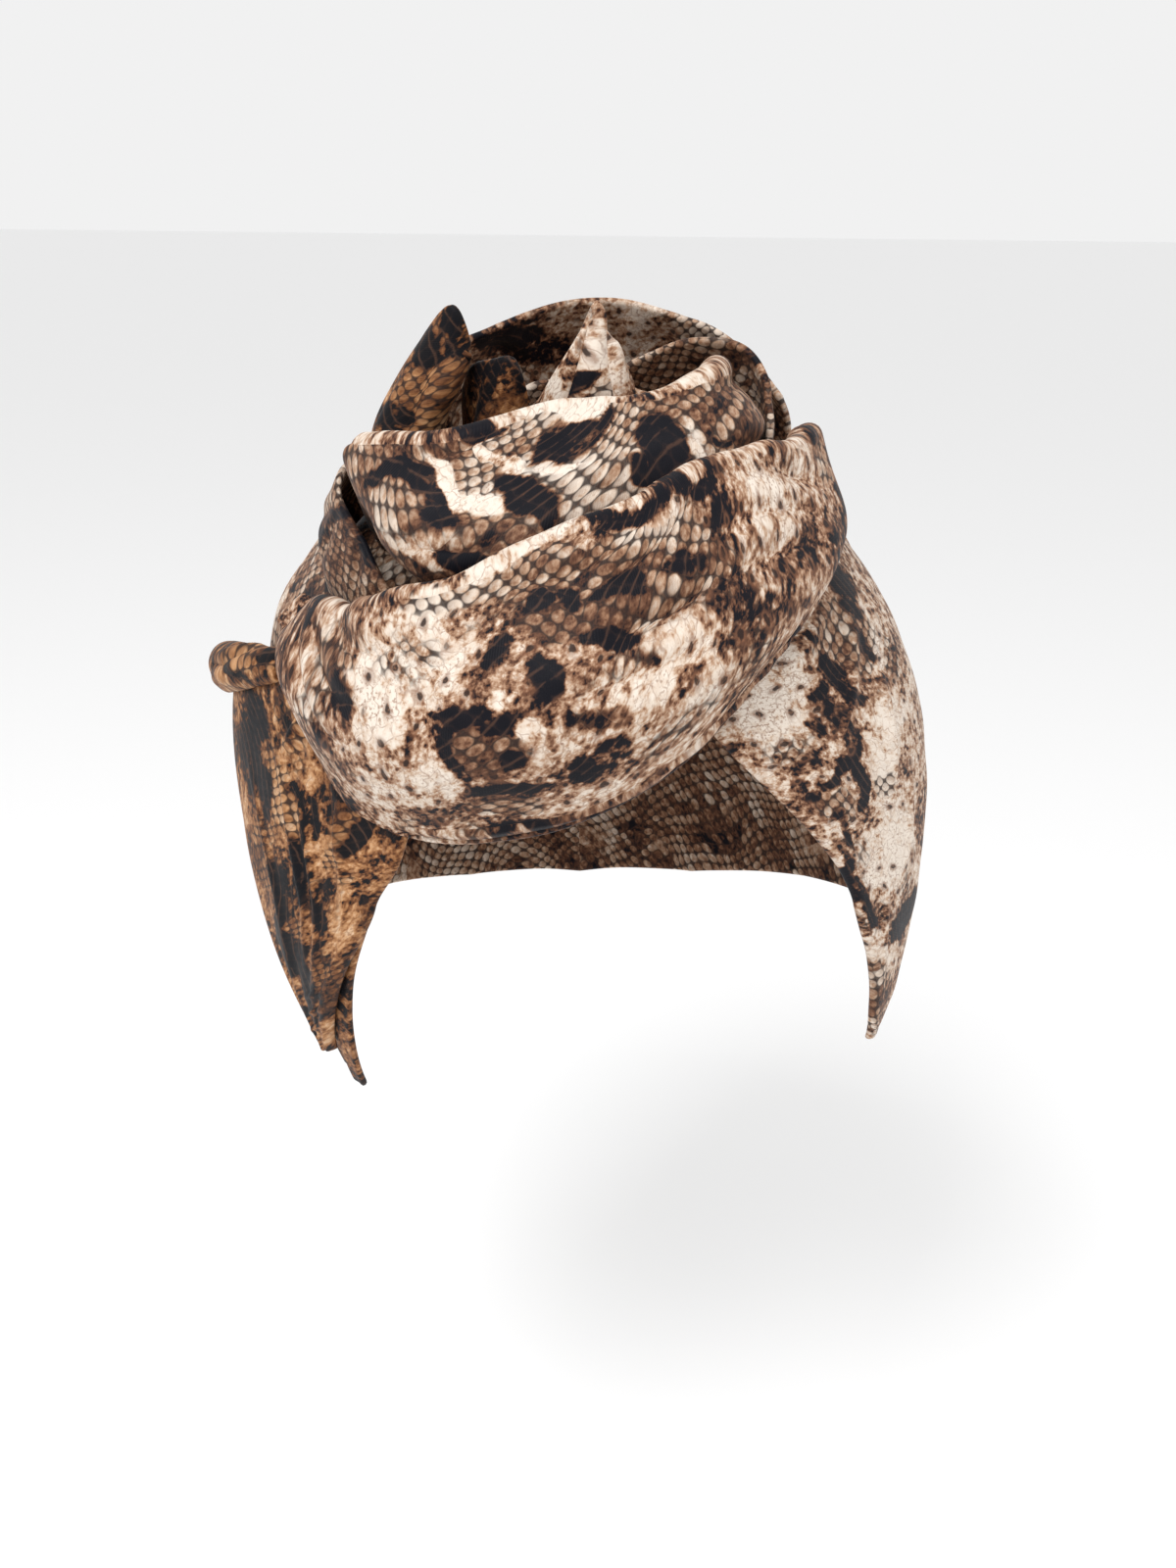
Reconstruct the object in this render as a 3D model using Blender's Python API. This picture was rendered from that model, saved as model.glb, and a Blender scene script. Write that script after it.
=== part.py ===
"""Turban headwrap: a hollow jersey cap, two side bands and a coiled rosette of folded cloth.

Metres, +Z up. The origin is the crown of the head hollow, the face looks towards -Y and
+X is to the viewer's right. Every piece is a closed sheet of cloth.
"""
import bpy
import numpy as np

# Head hollow
HEAD_BREADTH = 0.150
HEAD_FRONT = 0.088
HEAD_BACK = 0.094
CROWN_HEIGHT = 0.096
JAW_DEPTH = 0.110
HEAD_SHIFT = 0.005
HEAD_FULLNESS = 2.4

# Cloth
CLOTH = 0.0018
SNUG = 0.0010
GAP = 0.0005
LAYER = CLOTH + GAP

# How far the cap and the left band puff away from the head
SIDE_PUFF = 0.0060
BACK_PUFF = 0.0180
LEFT_PUFF = 0.0035
NAPE_GATHER = 0.0012
NAPE_FOLDS = 9
BAND_PLEAT = 0.0011
BAND_PLEATS = 4
ROLL_WIDTH = 0.0074
ROLL_STAND = 0.0037

# Where they puff: middle and reach in degrees round and down the head, and a share of the height
SIDE_PUFFS = (
    ("turn", "turn_reach", "fall", "fall_reach", "share"),
    (95, 55, 88, 42, 1.0),
    (-98, 60, 79, 50, 1.15),
)
BACK_PUFFS = (
    ("turn", "turn_reach", "fall", "fall_reach", "share"),
    (-160, 120, 66, 52, 1.0),
)
NAPE_PUFFS = (
    ("turn", "turn_reach", "fall", "fall_reach", "share"),
    (180, 80, 112, 35, 1.0),
)
LEFT_PUFFS = (
    ("turn", "turn_reach", "fall", "fall_reach", "share"),
    (-86, 46, 79, 44, 1.0),
)

# Rosette of coiled folds
ROSE_RADIUS = 0.080
ROSE_HEIGHT = 0.040
ROSE_LEAN = 26.0
ROSE_SIDE = -0.008
ROSE_FORWARD = 0.0357
ROSE_SINK = 0.0031
RIM_ROLL = 0.0022
RIM_TUCK = 0.0070

# Lower edge of the cap: degrees round the head from the face, degrees down from the crown
CAP_EDGE = (
    ("turn", "fall"),
    (-180, 114), (-150, 112), (-120, 107), (-90, 104), (-72, 104), (-62, 98), (-54, 88), (-46, 78),
    (-38, 68), (-25, 56), (-12, 51), (0, 50), (15, 54), (25, 62), (35, 74), (45, 84), (55, 93),
    (63, 100), (74, 102), (90, 101), (120, 106), (150, 112), (180, 114),
)

# Bands: their front and rear edges on the head, a row for each step down the band
RIGHT_BAND = (
    ("front_turn", "front_fall", "rear_turn", "rear_fall", "bow"),
    (8, 60, 80, 34, -4),
    (17, 69, 98, 50, -2),
    (31, 80, 106, 66, 0),
    (39, 86, 108, 78, 0),
    (46, 92, 104, 90, 0),
    (52, 98, 96, 99, 0),
    (56, 104, 87, 105, 0),
    (60, 110, 75, 111, 0),
)
LEFT_BAND = (
    ("front_turn", "front_fall", "rear_turn", "rear_fall", "bow"),
    (-44, 63.5, -106, 76.5, 0),
    (-38, 74, -110, 83, 0),
    (-40, 84, -108, 89, 0),
    (-46, 90, -102, 97, 0),
    (-54, 97, -95, 103, 0),
    (-61, 105, -88, 108, 0),
    (-67, 112, -81, 113, 0),
)
LEFT_EDGE_STRIP = (
    ("front_turn", "front_fall", "rear_turn", "rear_fall", "bow"),
    (-33, 75, -44, 74, 0),
    (-40, 82, -51, 82, 0),
    (-47, 89, -58, 89, 0),
    (-54, 97, -65, 97, 0),
    (-58, 104, -70, 104, 0),
    (-62, 112, -74, 111, 0),
    (-67, 120, -75, 117, 0),
)

# Tucked roll at the top of the left band: place on the head, and size as shares of the roll
TUCK_ROLL = (
    ("turn", "fall", "width", "stand"),
    (-103, 77, 0.60, 0.55),
    (-96, 75.8, 0.95, 0.90),
    (-89, 74.2, 1.05, 1.05),
    (-81, 71.8, 1.00, 0.95),
    (-75, 69.8, 0.85, 0.65),
    (-69, 67.8, 0.60, 0.20),
)

# Folds of the rosette, a row for each section round the fold's own centre. Outward columns are
# shares of ROSE_RADIUS, upward columns are shares of ROSE_HEIGHT above the rosette's seat.
COIL_CENTRE = (0.0, 0.0)
REAR_CENTRE = (0.0, -0.5)
FRONT_WRAP = (
    ("turn", "foot_out", "belly_out", "belly_up", "rim_out", "rim_up"),
    (-90, 0.83, 0.87, -0.78, 0.80, -0.62),
    (-79, 0.86, 0.91, -0.62, 0.80, -0.34),
    (-62, 0.88, 0.93, -0.52, 0.77, -0.08),
    (-48, 0.90, 0.945, -0.40, 0.74, 0.22),
    (-34, 0.905, 0.955, -0.26, 0.69, 0.43),
    (-19, 0.90, 0.94, -0.05, 0.58, 0.62),
    (-4, 0.865, 0.89, 0.08, 0.52, 0.74),
    (11, 0.815, 0.83, 0.18, 0.46, 0.75),
    (30, 0.735, 0.755, 0.25, 0.41, 0.75),
    (48, 0.675, 0.70, 0.26, 0.40, 0.75),
    (65, 0.655, 0.70, 0.19, 0.44, 0.70),
    (78, 0.675, 0.715, 0.14, 0.50, 0.64),
    (92, 0.715, 0.735, 0.06, 0.60, 0.50),
    (106, 0.745, 0.755, -0.04, 0.70, 0.37),
    (118, 0.78, 0.78, -0.25, 0.76, 0.05),
)
SECOND_WRAP = (
    ("turn", "foot_out", "belly_out", "belly_up", "rim_out", "rim_up"),
    (-58, 0.70, 0.80, 0.30, 0.775, 0.42),
    (-45, 0.72, 0.87, 0.30, 0.76, 0.58),
    (-34, 0.78, 0.96, 0.33, 0.735, 0.70),
    (-25, 0.84, 0.99, 0.36, 0.64, 0.75),
    (-14, 0.84, 0.95, 0.45, 0.53, 0.76),
    (0, 0.79, 0.855, 0.52, 0.475, 0.76),
    (18, 0.69, 0.715, 0.56, 0.475, 0.75),
    (42, 0.62, 0.65, 0.50, 0.47, 0.75),
    (60, 0.55, 0.57, 0.38, 0.45, 0.66),
    (74, 0.49, 0.50, 0.20, 0.44, 0.56),
)
LEFT_TUNNEL = (
    ("turn", "foot_out", "belly_out", "belly_up", "rim_out", "rim_up"),
    (-122, 0.78, 0.79, -0.40, 0.74, -0.10),
    (-108, 0.80, 0.81, -0.35, 0.73, 0.06),
    (-96, 0.75, 0.76, -0.35, 0.705, 0.06),
    (-86, 0.69, 0.70, -0.35, 0.66, 0.03),
    (-76, 0.65, 0.655, -0.38, 0.63, -0.06),
    (-67, 0.62, 0.62, -0.42, 0.60, -0.20),
)
BACK_PETAL = (
    ("turn", "foot_out", "belly_out", "belly_up", "rim_out", "rim_up"),
    (126, 0.78, 0.80, 0.00, 0.74, 0.28),
    (142, 0.80, 0.84, 0.08, 0.77, 0.42),
    (158, 0.80, 0.85, 0.12, 0.79, 0.49),
    (172, 0.80, 0.86, 0.12, 0.80, 0.52),
    (186, 0.79, 0.84, 0.10, 0.77, 0.49),
    (200, 0.78, 0.82, 0.03, 0.74, 0.43),
    (214, 0.77, 0.80, -0.05, 0.73, 0.36),
    (232, 0.76, 0.78, -0.25, 0.73, 0.02),
)
RIGHT_PETAL = (
    ("turn", "foot_out", "belly_out", "belly_up", "rim_out", "rim_up"),
    (106, 0.54, 0.55, 0.00, 0.54, 0.32),
    (115, 0.58, 0.60, 0.10, 0.59, 0.42),
    (124, 0.63, 0.66, 0.15, 0.63, 0.54),
    (135, 0.67, 0.70, 0.15, 0.65, 0.60),
    (147, 0.65, 0.68, 0.10, 0.62, 0.56),
    (158, 0.62, 0.64, 0.00, 0.58, 0.44),
    (170, 0.58, 0.60, -0.10, 0.54, 0.32),
    (184, 0.54, 0.56, -0.12, 0.50, 0.30),
    (198, 0.52, 0.54, -0.12, 0.49, 0.30),
    (210, 0.50, 0.51, -0.20, 0.48, 0.15),
)
CENTRE_PEAK = (
    ("turn", "foot_out", "belly_out", "belly_up", "rim_out", "rim_up"),
    (-26, 0.35, 0.36, 0.30, 0.33, 0.52),
    (-12, 0.36, 0.37, 0.40, 0.28, 0.82),
    (4, 0.36, 0.37, 0.45, 0.22, 1.08),
    (14, 0.36, 0.37, 0.42, 0.25, 0.86),
    (26, 0.36, 0.37, 0.38, 0.30, 0.60),
    (44, 0.35, 0.36, 0.20, 0.32, 0.45),
    (66, 0.34, 0.35, 0.00, 0.31, 0.22),
)
LEFT_PEAK = (
    ("turn", "foot_out", "belly_out", "belly_up", "rim_out", "rim_up"),
    (-83, 0.56, 0.56, 0.02, 0.50, 0.30),
    (-75, 0.64, 0.63, 0.16, 0.49, 0.64),
    (-66, 0.67, 0.65, 0.20, 0.42, 0.99),
    (-58, 0.63, 0.60, 0.25, 0.40, 0.82),
    (-58, 0.53, 0.52, 0.28, 0.40, 0.74),
    (-69, 0.47, 0.46, 0.28, 0.41, 0.69),
    (-84, 0.44, 0.44, 0.25, 0.42, 0.62),
)
LEFT_INNER_PETAL = (
    ("turn", "foot_out", "belly_out", "belly_up", "rim_out", "rim_up"),
    (-70, 0.36, 0.36, 0.20, 0.36, 0.42),
    (-59, 0.37, 0.38, 0.30, 0.36, 0.64),
    (-47, 0.37, 0.39, 0.34, 0.35, 0.74),
    (-37, 0.37, 0.38, 0.34, 0.34, 0.78),
    (-31, 0.36, 0.37, 0.30, 0.34, 0.56),
)


def column(table, name):
    """One named column of a table as numbers."""
    return np.array([row[table[0].index(name)] for row in table[1:]], float)


def smooth(values, places):
    """Catmull-Rom curve through evenly numbered values, read at places from 0 to 1."""
    at = np.asarray(places) * (len(values) - 1)
    low = np.clip(np.floor(at).astype(int), 0, len(values) - 2)
    part = at - low
    ends = np.concatenate(([2 * values[0] - values[1]], values, [2 * values[-1] - values[-2]]))
    before, start, stop, after = (ends[low + step] for step in range(4))
    bend = 3 * (start - stop) + after - before
    turn = 2 * before - 5 * start + 4 * stop - after
    return 0.5 * (2 * start + part * (stop - before + part * (turn + part * bend)))


def hill(value, centre, half_width):
    """A rounded hump of height 1 that reaches zero half_width away from its centre."""
    return np.clip(1 - ((value - centre) / half_width) ** 2, 0, None) ** 2


def puffed(table, turn, fall):
    """Sum of the humps of a table at a place on the head."""
    height = 0.0
    for middle, turn_reach, level, fall_reach, share in table[1:]:
        apart = (np.asarray(turn, float) - middle + 180) % 360 - 180
        height = height + share * hill(apart, 0, turn_reach) * hill(fall, level, fall_reach)
    return height


def cap_rise(turn, fall):
    """Inner face of the cap above the head: snug in front, puffed at the sides and back."""
    folds = 1 + np.cos(2 * NAPE_FOLDS * np.radians(turn))
    sides = SIDE_PUFF * puffed(SIDE_PUFFS, turn, fall)
    back = BACK_PUFF * puffed(BACK_PUFFS, turn, fall)
    nape = NAPE_GATHER * folds * puffed(NAPE_PUFFS, turn, fall)
    return SNUG + sides + back + nape


def left_rise(turn, fall):
    """How far the left band stands away from the cap."""
    return LEFT_PUFF * puffed(LEFT_PUFFS, turn, fall)


def head_axes(rise, ahead, above):
    """Half breadth, half depth and half height of the head form, grown by rise."""
    depth = np.where(ahead, HEAD_FRONT, HEAD_BACK) + rise
    height = np.where(above, CROWN_HEIGHT, JAW_DEPTH) + rise
    return HEAD_BREADTH / 2 + rise, depth, height


def head_point(turn, fall, rise):
    """Point at turn degrees round the head, fall degrees below the crown, rise above the head."""
    turn, fall = np.radians(turn), np.radians(fall)
    breadth, depth, height = head_axes(rise, np.cos(turn) > 0, np.cos(fall) > 0)
    ring = np.abs(np.sin(fall)) ** (2 / HEAD_FULLNESS)
    level = np.sign(np.cos(fall)) * np.abs(np.cos(fall)) ** (2 / HEAD_FULLNESS)
    across = breadth * np.sin(turn) * ring
    along = HEAD_SHIFT - depth * np.cos(turn) * ring
    up = -CROWN_HEIGHT + height * level
    return np.stack(np.broadcast_arrays(across, along, up), axis=-1)


def head_place(points):
    """Turn, fall and rise of points: the inverse of head_point, by halving."""
    ahead = HEAD_SHIFT - points[..., 1]
    above = points[..., 2] + CROWN_HEIGHT
    low = np.full(ahead.shape, -HEAD_BREADTH / 3)
    high = np.full(ahead.shape, HEAD_BREADTH)
    for _ in range(36):
        rise = (low + high) / 2
        breadth, depth, height = head_axes(rise, ahead > 0, above > 0)
        ring = np.hypot(points[..., 0] / breadth, ahead / depth)
        level = np.abs(above / height)
        outside = ring ** HEAD_FULLNESS + level ** HEAD_FULLNESS > 1
        low = np.where(outside, rise, low)
        high = np.where(outside, high, rise)
    turn = np.degrees(np.arctan2(points[..., 0] / breadth, ahead / depth))
    steep = HEAD_FULLNESS / 2
    fall = np.degrees(np.arctan2(ring ** steep, np.sign(above) * level ** steep))
    return turn, fall, rise


def cap_seat(turn, fall):
    """Where a fold that lies straight on the cap begins."""
    return cap_rise(turn, fall) + LAYER


def band_seat(turn, fall):
    """Where a fold that lies over the bands begins: two layers up on the right, three on the left."""
    left_layers = LAYER * np.clip((-10 - np.asarray(turn)) / 15, 0, 1)
    return cap_rise(turn, fall) + 2 * LAYER + left_layers + left_rise(turn, fall)


def rose_frame():
    """Seat of the rosette on the head, and its across, front and up directions."""
    lean = np.radians(ROSE_LEAN)
    up = np.array([0, -np.sin(lean), np.cos(lean)])
    front = np.array([0, -np.cos(lean), -np.sin(lean)])
    across = np.array([1.0, 0, 0])
    ring = np.hypot(ROSE_SIDE / (HEAD_BREADTH / 2), (ROSE_FORWARD + HEAD_SHIFT) / HEAD_FRONT)
    level = (1 - ring ** HEAD_FULLNESS) ** (1 / HEAD_FULLNESS)
    seat = np.array([ROSE_SIDE, -ROSE_FORWARD, CROWN_HEIGHT * (level - 1) - ROSE_SINK])
    return seat, across, front, up


def rose_point(centre, turn, out, up):
    """Point of the rosette: turn degrees round a centre, out from it and up from the seat."""
    seat, across_dir, front_dir, up_dir = rose_frame()
    turn = np.radians(turn)
    across = centre[0] * ROSE_RADIUS + out * np.sin(turn)
    front = centre[1] * ROSE_RADIUS + out * np.cos(turn)
    across, front, up = np.broadcast_arrays(across, front, up)
    return seat + across[..., None] * across_dir + front[..., None] * front_dir + up[..., None] * up_dir


def seat_height(centre, turn, out, seat_rise, extra):
    """Height at which the rosette's foot meets the surface below it, by halving."""
    low = np.full(np.shape(out), -1.6 * ROSE_RADIUS)
    high = np.full(np.shape(out), ROSE_HEIGHT)
    for _ in range(30):
        height = (low + high) / 2
        place = head_place(rose_point(centre, turn, out, height))
        inside = place[2] < seat_rise(place[0], place[1]) + extra
        low = np.where(inside, height, low)
        high = np.where(inside, high, height)
    return height


def outward(grid):
    """Unit normals of a grid of points."""
    normal = np.cross(np.gradient(grid, axis=1), np.gradient(grid, axis=0))
    return normal / np.linalg.norm(normal, axis=-1, keepdims=True)


def facing_head(grid, normals):
    """How much the cloth lies flat on the head at each point: 1 flat, 0 standing up."""
    turn, fall, rise = head_place(grid)
    away = head_point(turn, fall, rise + CLOTH) - grid
    away = away / np.linalg.norm(away, axis=-1, keepdims=True)
    return np.clip(np.sum(away * normals, axis=-1), 0, 1)


def clear_of(grid, seat_rise, extra):
    """Lifts the points of a grid that would sink into the surface below it."""
    turn, fall, rise = head_place(grid)
    need = seat_rise(turn, fall) + extra
    lifted = head_point(turn, fall, need)
    return np.where((rise < need)[..., None], lifted, grid)


def cloth(name, outer, inner, colour):
    """Closed solid between an outer and an inner grid of points, joined round the edges."""
    rows, cols = outer.shape[:2]
    here = np.arange(rows * cols).reshape(rows, cols)
    there = here + rows * cols
    faces = []
    for i in range(rows - 1):
        for j in range(cols - 1):
            corner = (here[i, j], here[i, j + 1], here[i + 1, j + 1], here[i + 1, j])
            faces.append(corner)
            faces.append(tuple(index + rows * cols for index in reversed(corner)))
    ring = [*here[0], *here[1:, -1], *here[-1, -2::-1], *here[-2:0:-1, 0]]
    for first, second in zip(ring, ring[1:] + ring[:1]):
        faces.append((second, first, first + there[0, 0], second + there[0, 0]))
    return add_piece(name, np.concatenate((outer.reshape(-1, 3), inner.reshape(-1, 3))), faces, colour)


def add_piece(name, points, faces, colour):
    """Object with its own material, faces turned outward, shaded smooth."""
    mesh = bpy.data.meshes.new(name)
    mesh.from_pydata(points.tolist(), [], [[int(index) for index in face] for face in faces])
    mesh.update()
    mesh.shade_smooth()
    mesh.set_sharp_from_angle(angle=np.radians(50))
    material = bpy.data.materials.new(name)
    material.use_nodes = True
    shader = material.node_tree.nodes["Principled BSDF"]
    shader.inputs["Base Color"].default_value = (*colour, 1.0)
    shader.inputs["Roughness"].default_value = 0.62
    shader.inputs["Metallic"].default_value = 0.0
    mesh.materials.append(material)
    piece = bpy.data.objects.new(name, mesh)
    bpy.context.scene.collection.objects.link(piece)
    return piece


def fold_profile(table, turns, foot_up, roll, steps):
    """Grid of (out, up) from the foot over the belly to the rim, and into the hollow if rolled."""
    foot = column(table, "foot_out") * ROSE_RADIUS
    belly = column(table, "belly_out") * ROSE_RADIUS
    belly_up = column(table, "belly_up") * ROSE_HEIGHT
    rim = column(table, "rim_out") * ROSE_RADIUS
    rim_up = column(table, "rim_up") * ROSE_HEIGHT
    stations = [(foot, foot_up), (belly, belly_up), (rim, rim_up - roll)]
    if roll:
        stations += [(rim - roll, rim_up), (rim - 2 * roll, rim_up - roll)]
        stations += [(rim - 2 * roll, rim_up - roll - RIM_TUCK)]
    places = np.linspace(0, 1, len(turns))
    outs = np.stack([smooth(out, places) for out, _ in stations])
    ups = np.stack([smooth(up, places) for _, up in stations])
    counts = [steps, steps] + ([1, 1, 1] if roll else [])
    marks = [k + s / count for k, count in enumerate(counts) for s in range(count)] + [len(counts)]
    along = np.array(marks) / len(counts)
    out = np.stack([smooth(outs[:, i], along) for i in range(len(turns))])
    up = np.stack([smooth(ups[:, i], along) for i in range(len(turns))])
    return out, up


def fold(name, table, centre, seat_rise, sections, steps, colour, roll=0.0):
    """One fold of the rosette, lofted round its centre through the rows of its table."""
    rows = column(table, "turn")
    foot_up = seat_height(centre, rows, column(table, "foot_out") * ROSE_RADIUS, seat_rise, 0)
    turns = smooth(rows, np.linspace(0, 1, sections))
    out, up = fold_profile(table, turns, foot_up, roll, steps)
    outer = rose_point(centre, turns[:, None], out, up)
    outer = clear_of(outer, seat_rise, CLOTH * facing_head(outer, outward(outer)))
    inner = clear_of(outer - outward(outer) * CLOTH, seat_rise, 0)
    return cloth(name, outer, inner, colour)


def crown_cap(colour):
    """Hollow cap: rings from the crown down to the edge, closed over by a fan at the crown."""
    columns, rings = 60, 11
    turn = np.linspace(-180, 180, columns, endpoint=False)
    edge_turn, edge_fall = column(CAP_EDGE, "turn"), column(CAP_EDGE, "fall")
    edge = np.interp(turn, edge_turn, edge_fall)
    share = (np.arange(rings) + 1) / rings
    fall = share[:, None] * edge
    rise = cap_rise(turn, fall)
    inner = head_point(turn, fall, rise)
    outer = head_point(turn, fall, rise + CLOTH)
    crown_rise = cap_rise(0.0, 0.0)
    tops = np.stack((head_point(0.0, 0.0, crown_rise + CLOTH), head_point(0.0, 0.0, crown_rise)))
    points = np.concatenate((outer.reshape(-1, 3), inner.reshape(-1, 3), tops))
    shell = columns * rings
    faces = []
    for j in range(columns):
        after = (j + 1) % columns
        faces.append((2 * shell, j, after))
        faces.append((2 * shell + 1, shell + after, shell + j))
        for i in range(rings - 1):
            face = (i * columns + j, (i + 1) * columns + j, (i + 1) * columns + after, i * columns + after)
            faces.append(face)
            faces.append(tuple(shell + index for index in reversed(face)))
        last = (rings - 1) * columns
        faces.append((last + j, shell + last + j, shell + last + after, last + after))
    return add_piece("crown_cap", points, faces, colour)


def band(name, table, layers, rise, steps, colour, pleat=0.0):
    """Side band: a strip between two edges on the head, with pleats that run down it."""
    down = np.linspace(0, 1, 2 * len(table) - 3)[:, None]
    share = np.linspace(0, 1, steps)
    edges = {key: smooth(column(table, key), down) for key in table[0]}
    turn = edges["front_turn"] + (edges["rear_turn"] - edges["front_turn"]) * share
    fall = edges["front_fall"] + (edges["rear_fall"] - edges["front_fall"]) * share
    fall = fall + edges["bow"] * 4 * share * (1 - share)
    waves = pleat * (1 - np.cos(2 * np.pi * BAND_PLEATS * share)) / 2 * down
    base = cap_rise(turn, fall) + layers * LAYER + rise(turn, fall) + waves
    outer = head_point(turn, fall, base + CLOTH)
    inner = head_point(turn, fall, base)
    if table[1][0] < table[1][2]:
        outer, inner = outer[:, ::-1], inner[:, ::-1]
    return cloth(name, outer, inner, colour)


def no_rise(turn, fall):
    """A band that lies straight on its layer."""
    return 0.0


def tuck_roll(colour):
    """Rolled fold over the left band's top edge: a half-round section swept round the head."""
    sections = np.linspace(0, 1, 15)
    turn, fall, width, stand = (smooth(column(TUCK_ROLL, key), sections) for key in TUCK_ROLL[0])
    bend = np.radians(np.linspace(0, 180, 9))
    degrees = np.degrees(width * ROLL_WIDTH / (2 * CROWN_HEIGHT))[:, None]
    base = cap_rise(turn, fall) + 3 * LAYER + left_rise(turn, fall)
    outer_rise = base[:, None] + GAP + (stand * ROLL_STAND)[:, None] * np.sin(bend)
    outer = head_point(turn[:, None], fall[:, None] + degrees * np.cos(bend), outer_rise)
    inner = outer - outward(outer) * CLOTH
    return cloth("tuck_roll", outer, inner, colour)


CREAM = (0.62, 0.50, 0.38)
TAN = (0.40, 0.25, 0.14)
COPPER = (0.36, 0.19, 0.09)
BROWN = (0.20, 0.11, 0.07)
NAVY = (0.03, 0.03, 0.045)

for old in list(bpy.data.objects):
    bpy.data.objects.remove(old)

crown_cap(TAN)
band("right_band", RIGHT_BAND, 1, no_rise, 14, CREAM)
band("left_edge_strip", LEFT_EDGE_STRIP, 1, no_rise, 4, BROWN)
band("left_band", LEFT_BAND, 2, left_rise, 17, COPPER, BAND_PLEAT)
tuck_roll(COPPER)
fold("front_wrap", FRONT_WRAP, COIL_CENTRE, band_seat, 31, 4, CREAM, RIM_ROLL)
fold("second_wrap", SECOND_WRAP, REAR_CENTRE, cap_seat, 24, 4, CREAM, RIM_ROLL)
fold("left_tunnel", LEFT_TUNNEL, COIL_CENTRE, cap_seat, 13, 3, TAN)
fold("back_petal", BACK_PETAL, COIL_CENTRE, cap_seat, 17, 3, TAN)
fold("right_petal", RIGHT_PETAL, COIL_CENTRE, cap_seat, 21, 3, NAVY)
fold("centre_peak", CENTRE_PEAK, REAR_CENTRE, cap_seat, 15, 3, CREAM)
fold("left_peak", LEFT_PEAK, REAR_CENTRE, cap_seat, 17, 3, BROWN)
fold("left_inner_petal", LEFT_INNER_PETAL, REAR_CENTRE, cap_seat, 8, 3, BROWN)
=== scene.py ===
import bmesh
import bpy
import numpy as np
from mathutils import Matrix


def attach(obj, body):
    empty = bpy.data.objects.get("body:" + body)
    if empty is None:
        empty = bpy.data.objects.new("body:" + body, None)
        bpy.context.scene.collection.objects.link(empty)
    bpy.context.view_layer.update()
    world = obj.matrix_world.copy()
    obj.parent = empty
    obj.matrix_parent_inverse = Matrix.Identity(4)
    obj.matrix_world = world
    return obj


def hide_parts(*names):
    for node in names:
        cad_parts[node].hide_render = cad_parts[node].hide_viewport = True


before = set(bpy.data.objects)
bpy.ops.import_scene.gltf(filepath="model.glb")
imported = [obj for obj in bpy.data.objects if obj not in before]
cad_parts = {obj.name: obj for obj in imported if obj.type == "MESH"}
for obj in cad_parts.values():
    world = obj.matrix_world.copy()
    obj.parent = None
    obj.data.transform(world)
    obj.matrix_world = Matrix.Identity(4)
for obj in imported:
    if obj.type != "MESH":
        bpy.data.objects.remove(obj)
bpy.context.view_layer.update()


# Crown cap: the hollow cap of satin jersey that closes round the head hollow, down to the nape.
# It is cut with slack at the sides and the back, so it hangs in soft folds there, and its
# lower edge is turned in and blind stitched.
HEAD_BREADTH = 0.150
HEAD_FRONT = 0.088
HEAD_BACK = 0.094
CROWN_HEIGHT = 0.096
JAW_DEPTH = 0.110
HEAD_SHIFT = 0.005
HEAD_FULLNESS = 2.4
CLOTH = 0.0018
SNUG = 0.0010
GAP = 0.0005
LAYER = CLOTH + GAP
SIDE_PUFF = 0.0060
BACK_PUFF = 0.0180
NAPE_GATHER = 0.0012
NAPE_FOLDS = 9
CAP_SLACK = 0.0011
CAP_DRAPE = 0.0011
CAP_DIP = 0.0006
CAP_HEM_WIDTH = 0.0075
CAP_HEM_RISE = 0.0005
CAP_STEPS_ROUND = 301
CAP_STEPS_DOWN = (104, 12)
CAP_HEM_STARTS = 0.94
CAP_HEM_STEP = 0.006
WELD = 0.00001
PUFF_COLUMNS = ("turn", "turn_reach", "fall", "fall_reach", "share")
SIDE_PUFFS = (
    PUFF_COLUMNS,
    (95, 55, 88, 42, 1.0),
    (-98, 60, 79, 50, 1.15),
)
BACK_PUFFS = (PUFF_COLUMNS, (-160, 120, 66, 52, 1.0))
NAPE_PUFFS = (PUFF_COLUMNS, (180, 80, 112, 35, 1.0))
CAP_EDGE = (
    ("turn", "fall"),
    (-180, 114), (-150, 112), (-120, 107), (-90, 104), (-72, 104), (-62, 98), (-54, 88), (-46, 78),
    (-38, 68), (-25, 56), (-12, 51), (0, 50), (15, 54), (25, 62), (35, 74), (45, 84), (55, 93),
    (63, 100), (74, 102), (90, 101), (120, 106), (150, 112), (180, 114),
)


def column(table, name):
    """One named column of a table as numbers."""
    return np.array([row[table[0].index(name)] for row in table[1:]], float)


def smooth(values, places):
    """Catmull-Rom curve through evenly numbered values, read at places from 0 to 1."""
    at = np.asarray(places) * (len(values) - 1)
    low = np.clip(np.floor(at).astype(int), 0, len(values) - 2)
    part = at - low
    ends = np.concatenate(([2 * values[0] - values[1]], values, [2 * values[-1] - values[-2]]))
    before, start, stop, after = (ends[low + step] for step in range(4))
    bend = 3 * (start - stop) + after - before
    turn = 2 * before - 5 * start + 4 * stop - after
    return 0.5 * (2 * start + part * (stop - before + part * (turn + part * bend)))


def ease(value, low, high):
    """Smooth step from 0 at low to 1 at high."""
    part = np.clip((value - low) / (high - low), 0, 1)
    return part * part * (3 - 2 * part)


def hill(value, centre, half_width):
    """A rounded hump of height 1 that reaches zero half_width away from its centre."""
    return np.clip(1 - ((value - centre) / half_width) ** 2, 0, None) ** 2


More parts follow.
